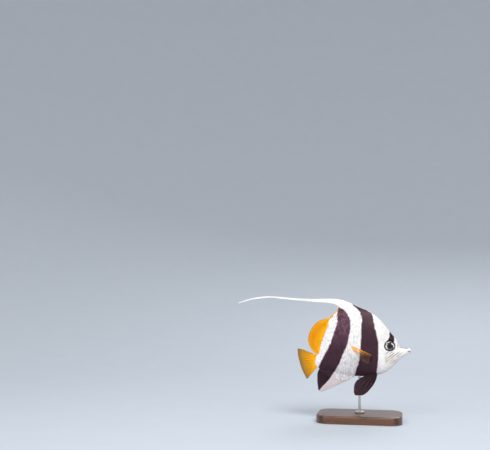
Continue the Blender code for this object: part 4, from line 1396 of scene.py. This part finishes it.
def lay_scales(name, places, side, tree):
    """All scales of one side as one mesh."""
    rng = np.random.default_rng(21 + side)
    mirror = np.array((1, side, 1))
    roots, outs, tails = (part * mirror for part in places[:3])
    size, length, wrap = places[3:]
    turns = []
    for out, tail in zip(outs, tails):
        tail = unit(tail - out * np.dot(out, tail))
        turns.append(Matrix((tail, np.cross(out, tail), out)).transposed().to_euler())
    grow = size * rng.normal(1.0, 0.04, len(size))
    mesh = bpy.data.meshes.new(name)
    mesh.from_pydata(placed(roots).tolist(), [], [])
    give(mesh, "turn", "FLOAT_VECTOR", np.array(turns))
    give(mesh, "grow", "FLOAT_VECTOR", np.column_stack([grow * length, grow, grow]))
    give(mesh, "root", "FLOAT_VECTOR", roots)
    give(mesh, "tone", "FLOAT", rng.uniform(0, 1, len(size)))
    low = wrap.min(axis=0)
    span = (wrap.max(axis=0) - low).max() * 1.04
    flat_place = (wrap - low) / span + 0.02
    give(mesh, "patch", "FLOAT_VECTOR", np.column_stack([flat_place, np.zeros(len(size))]))
    piece = add_object(name, mesh)
    step = piece.modifiers.new("scales", "NODES")
    step.node_group = tree
    step[tree.interface.items_tree["Seed"].identifier] = 5 + side
    graph = bpy.context.evaluated_depsgraph_get()
    settings = {"preserve_all_data_layers": True, "depsgraph": graph}
    coat = bpy.data.meshes.new_from_object(piece.evaluated_get(graph), **settings)
    piece.modifiers.remove(step)
    piece.data = coat
    coat.name = name
    bpy.data.meshes.remove(mesh)
    return piece


def raised(start, end, above):
    """Root line of a fin along the back or the belly, ROOT_SINK inside the body."""
    stations = np.linspace(start, end, 33)
    edge = back if above else belly
    lean = slope_of(edge, stations)
    across = np.column_stack([-lean, np.ones(33)]) / np.hypot(lean, 1)[:, None]
    across *= 1 if above else -1
    return path(np.column_stack([stations, edge(stations)]) - ROOT_SINK * across)


def flat(line):
    """Turns a line of (x, z) into one of (x, y, z) in the fish's middle plane."""
    def at(t):
        p = line(t)
        return np.stack([p[..., 0], np.zeros(np.shape(t)), p[..., 1]], axis=-1)

    return at


def ray_lift(t, r, rays, branch):
    """How much of a ray lies at t across a fin and r out from its root, from 0 to 1.

    rays are the shares across; a branching ray parts in two and then in four.
    """
    t = t[:, None]
    r = r[None, :]
    gap = np.min(np.diff(rays))
    first = soft_step((r - 0.3) / 0.45) * 0.24 * gap * branch
    second = soft_step((r - 0.62) / 0.35) * 0.11 * gap * branch
    thin = gap * (0.17 - 0.07 * r * (1 if branch else 0.3))
    out = np.zeros(np.broadcast_shapes(t.shape, r.shape))
    for ray in rays:
        for a, b in ((-1, -1), (-1, 1), (1, -1), (1, 1)):
            out = np.maximum(out, bell(t, ray + a * first + b * second, thin))
    return out


def sheets(name, material, middle, half, way, places, margin):
    """A thin closed piece: two faces, half its thickness to either side of a middle sheet.

    places are read by its finish: across in rays, mm from the root, and how much of a ray.
    """
    left = middle + half[..., None] * way
    right = middle - half[..., None] * way
    index = np.arange(half.size).reshape(half.shape)
    other = half.size
    rim = np.concatenate([index[:, 0], index[-1, 1:], index[-2::-1, -1], index[0, -2:0:-1]])
    after = np.roll(rim, -1)
    wall = np.column_stack([rim, after, after + other, rim + other])
    faces = np.concatenate([grid_faces(index), grid_faces(index + other)[:, ::-1], wall])
    points = np.concatenate([left.reshape(-1, 3), right.reshape(-1, 3)])
    piece = new_piece(name, points, faces, material, sharp=60.0)
    face_outwards(piece.data)
    marks = np.stack([np.broadcast_to(part, half.shape) for part in places], axis=-1)
    give(piece.data, "ray", "FLOAT_VECTOR", np.stack([marks, marks]))
    edge = np.broadcast_to(margin, half.shape)
    give(piece.data, "margin", "FLOAT", np.stack([edge, edge]))
    return piece


def median_thick(far):
    return fin_half(far - ROOT_SINK)


def fin_piece(
    name,
    material,
    root,
    tip,
    rays,
    per_ray,
    rows,
    thick=median_thick,
    ridge=(0.22, 0.08),
    branch=1.0,
    dip=0.25,
    wave=0.0,
    bow=None,
    facing=None,
):
    """A thin closed fin whose two faces carry its rays.

    thick gives the half thickness of the membrane by mm from the root; ridge is how far rays
    stand out at root and margin; branch is 1 for rays that part towards the margin, 0 for
    spines; dip, how far the margin steps in between the rays; wave, a slight sideways wave;
    bow bends the sheet; facing gives the way out of it.
    """
    columns = per_ray * len(rays) + 1
    t = np.linspace(0, 1, columns)
    r = np.linspace(0, 1, rows) ** 0.9
    ray = ray_lift(t, r, rays, branch)
    start = root(t)
    ends = tip(t)
    length = np.linalg.norm(ends - start, axis=1)
    step_in = dip * (1 - ray[:, -1]) / np.maximum(length, 1e-6)
    ends = ends + (start - ends) * np.minimum(step_in, 0.5)[:, None]
    middle = start[:, None] * (1 - r)[None, :, None] + ends[:, None] * r[None, :, None]
    if bow is not None:
        middle = middle + bow(t)[:, None] * (4 * r * (1 - r))[None, :, None]
    sway = np.sin(t * 9.0)[:, None] * 0.6 + np.sin(t * 23.0 + 1.0)[:, None] * 0.4
    middle[..., 1] += wave * sway * (r**1.5)[None]
    far = r[None, :] * length[:, None]
    half = thick(far) + ray * np.interp(r, (0, 1), ridge)[None]
    half = half * np.sqrt(np.clip(1 - ((r - 0.9) / 0.105).clip(0, 1) ** 2, 0.04, 1))[None]
    from_side = np.minimum(t, 1 - t)[:, None] * (columns - 1)
    half = half * np.clip(0.35 + 0.65 * from_side / 2, 0, 1)
    way = SIDEWAYS if facing is None else facing(middle)
    places = (t[:, None] * len(rays), far, ray)
    return sheets(name, material, middle, half, way, places, r[None, :])


def even(count):
    return (np.arange(count) + 0.5) / count


def median_fin(name, material, root, tips, rays, per_ray, rows, **form):
    return fin_piece(name, material, flat(root), flat(path(tips)), rays, per_ray, rows, **form)


def build_dorsal(spiny, soft):
    root = raised(DORSAL_START, SEAM_BANNER_X, True)
    form = {"branch": 0.0, "dip": 0.3, "ridge": (0.5, 0.16)}
    piece = median_fin("front_spines", spiny, root, FRONT_TIPS, FRONT_SPINES, 34, 34, **form)
    keep(piece, "dark_fin", "dorsal_fin_front")
    root = raised(SEAM_REAR_X, SEAM_SOFT_X, True)
    form["dip"] = 0.9
    piece = median_fin("rear_spines", spiny, root, REAR_TIPS, REAR_SPINES, 18, 44, **form)
    keep(piece, "dark_fin", "dorsal_fin_rear")
    root = raised(SEAM_SOFT_X, SOFT_END, True)
    piece = median_fin("soft_dorsal", soft, root, SOFT_TIPS, even(SOFT_RAYS), 13, 44, wave=0.35)
    keep(piece, "yellow_fin", "dorsal_fin_soft")


def build_anal(material):
    root = raised(ANAL_START, ANAL_SEAM_X, False)
    form = {"branch": 0.0, "dip": 1.1, "ridge": (0.6, 0.2)}
    piece = median_fin("anal_spines", material, root, ANAL_SPINE_TIPS, ANAL_SPINES, 34, 34, **form)
    keep(piece, "white_fin", "anal_fin_spiny")
    root = raised(ANAL_SEAM_X, ANAL_END, False)
    piece = median_fin("soft_anal", material, root, ANAL_TIPS, even(ANAL_RAYS), 13, 44, wave=0.35)
    keep(piece, "dark_fin", "anal_fin_soft")


def build_tail(material):
    root = path(TAIL_ROOT)
    form = {"ridge": (0.25, 0.09), "wave": 0.5, "dip": 0.35}
    piece = median_fin("tail_fin", material, root, TAIL_TIPS, even(TAIL_RAYS), 13, 46, **form)
    keep(piece, "yellow_fin", "caudal_fin")


def build_banner(material):
    """The fourth spine with its white membrane and its long free end."""
    t = np.linspace(0, 1, 230) ** 1.15
    across = np.linspace(0, 1, 17)
    upper = path(BANNER_TOP)(t)
    lower = path(BANNER_LOW)(t)
    body = upper[:, None] * (1 - across)[None, :, None] + lower[:, None] * across[None, :, None]
    body[0] = raised(BANNER_TOP[0][0], BANNER_LOW[0][0], True)(across)
    spine = np.interp(t, (0, 0.1, 0.4, 1), (0.6, 0.55, 0.34, 0.1))[:, None]
    membrane = np.interp(t, (0, 0.05, 0.2, 1), (1.3, 0.5, 0.26, 0.14))[:, None]
    form = np.sqrt(np.clip(1 - (2 * across - 1) ** 4, 0.02, 1))[None]
    bead = bell(across, 0.14, 0.09)[None]
    x = body[..., 0]
    ripple = 0.5 * np.sin(x / 7.0) * soft_step((-30 - x) / 40)
    sway = -BANNER_SWAY * soft_step((-50 - x) / 120) * np.cos(x / 60)
    sway = sway + ripple * across[None] * 0.6
    middle = np.stack([x, sway, body[..., 1]], axis=-1)
    half = membrane * form + spine * bead * form
    places = (across[None] * 3, run(upper)[:, None], bead)
    margin = np.abs(2 * across - 1)[None] ** 6
    piece = sheets("banner_streamer", material, middle, half, SIDEWAYS, places, margin)
    keep(piece, "white_fin", "banner", "banner_filament")


def build_pectoral(side, material):
    (ax, az), (bx, bz) = PECTORAL_ROOT
    fan = np.array([(share, long, *way) for share, long, way in PECTORAL_FAN])
    length, *ways = (curve(fan[:, (0, k)]) for k in (1, 2, 3, 4))

    def root(t):
        spots = []
        for share in np.atleast_1d(t):
            here, out = flank_frame(ax + (bx - ax) * share, az + (bz - az) * share, side)
            spots.append(here - out * 0.5)
        return np.array(spots)

    def tip(t):
        way = unit(np.stack([part(t) for part in ways], axis=-1))
        return root(t) + way * (1, side, 1) * length(t)[..., None]

    def bow(t):
        return np.stack([0 * t, side * (1.6 + 0 * t), 0 * t], axis=-1)

    _, out = flank_frame((ax + bx) / 2, (az + bz) / 2, side)
    along = unit(np.cross(np.cross(out, (1.0, 0.0, 0.0)), out))

    def facing(middle):
        way = unit(np.cross(np.gradient(middle, axis=0), np.gradient(middle, axis=1)))
        way *= np.sign((way * along).sum(axis=-1, keepdims=True))
        share = soft_step(np.linspace(0, 1, middle.shape[1]) / 0.3)[None, :, None]
        return unit(along * (1 - share) + way * share)

    def thick(far):
        return 0.1 + 0.9 * np.exp(-far / 2.2)

    form = {"thick": thick, "ridge": (0.16, 0.05), "dip": 0.3, "bow": bow, "facing": facing}
    name = sided("pectoral", side)
    piece = fin_piece(name, material, root, tip, even(PECTORAL_RAYS), 12, 40, **form)
    keep(piece, "yellow_fin", sided("pectoral_fin", side))


def build_pelvic(side, material):
    def root(t):
        x = PELVIC_ROOT[0] + (PELVIC_ROOT[1] - PELVIC_ROOT[0]) * np.asarray(t, float)
        y = plain_half_width(x, PELVIC_ROOT_SHARE) - 0.1
        z = height_at(x, PELVIC_ROOT_SHARE) + 0.6
        return np.stack([x, side * y, z], axis=-1)

    def tip(t):
        x, z = np.moveaxis(path(PELVIC_TIPS)(t), -1, 0)
        start = root(t)
        return np.stack([x, start[..., 1] + side * PELVIC_SPLAY * (start[..., 2] - z), z], axis=-1)

    def facing(middle):
        way = np.zeros(middle.shape)
        lean = soft_step(np.linspace(0, 1, middle.shape[1]) / 0.2)
        way[..., 1] = 1
        way[..., 2] = side * PELVIC_SPLAY * lean[None]
        return unit(way)

    def bow(t):
        return np.stack([PELVIC_BOW * (1 - t) ** 1.5, 0 * t, 0 * t], axis=-1)

    def thick(far):
        return 0.16 + 0.7 * np.exp(-far / 3.5)

    form = {"thick": thick, "ridge": (0.45, 0.1), "dip": 0.4, "bow": bow, "facing": facing}
    rays = (np.arange(PELVIC_RAYS) + 0.3) / (PELVIC_RAYS - 0.2)
    piece = fin_piece(sided("pelvic", side), material, root, tip, rays, 18, 44, **form)
    keep(piece, "dark_fin", sided("pelvic_fin", side))


def build_eyes(iris, cornea):
    ball = arc(80, 6, 14, -4.7, EYE_RADIUS - 0.05)
    ball += [(0.1, 6.9), (0.3, 6.7), (0.38, 6.4), (0.44, 5.6), (0.54, 4.8), (0.64, 4.2)]
    ball += [(0.68, 3.8), (0.62, 3.55), (0.36, 3.4), (0.42, 3.2)]
    ball += arc(25, 88, 9, 0.95, 3.4, 0.05)
    outer = arc(3, 88, 16, 1.75, 6.85, 0.05)
    inner = [(along - 0.16, max(radius - 0.14, 0.02)) for along, radius in reversed(outer)]
    for side in (1, -1):
        spot, way = flank_frame(*EYE_CENTRE, side)
        for name, profile, material in (("eye_ball", ball, iris), ("cornea", inner + outer, cornea)):
            piece = turned(sided(name, side), profile, spot, way, material, sharp=70.0)
            keep(piece, "eye", sided("eye", side))


def build():
    place_camera()
    marking_group()
    leaf = leaf_object()
    tree = scale_tree(leaf, scale_finish())
    mouth = mouth_finish()
    skin = build_skin(skin_finish(), mouth)
    keep(skin, "white_skin", "head", "trunk", "tail_stalk")
    build_mouth_fold(mouth)
    places = scale_places()
    for side in (1, -1):
        keep(lay_scales(sided("scales", side), places, side, tree), "white_skin")
    bpy.data.objects.remove(leaf)
    spiny = fin_finish("spiny_membrane")
    build_dorsal(spiny, fin_finish("soft_dorsal_membrane", tint=dorsal_tint))
    build_banner(fin_finish("banner_membrane", tint=banner_tint, dull=0.2))
    build_anal(fin_finish("anal_membrane", tint=anal_tint))
    build_tail(fin_finish("tail_membrane", clear=tail_clear, tint=caudal_tint))
    pectoral = fin_finish("pectoral_membrane", clear=pectoral_clear, tint=pectoral_tint)
    for side in (1, -1):
        build_pectoral(side, pectoral)
        build_pelvic(side, spiny)
    build_eyes(iris_finish(), cornea_finish())
    for node, finish in (("stand_base", wood_finish()), ("stand_rod", rod_finish())):
        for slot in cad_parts[node].material_slots:
            slot.material = finish
    build_stage(floor_finish())
    build_light()


build()
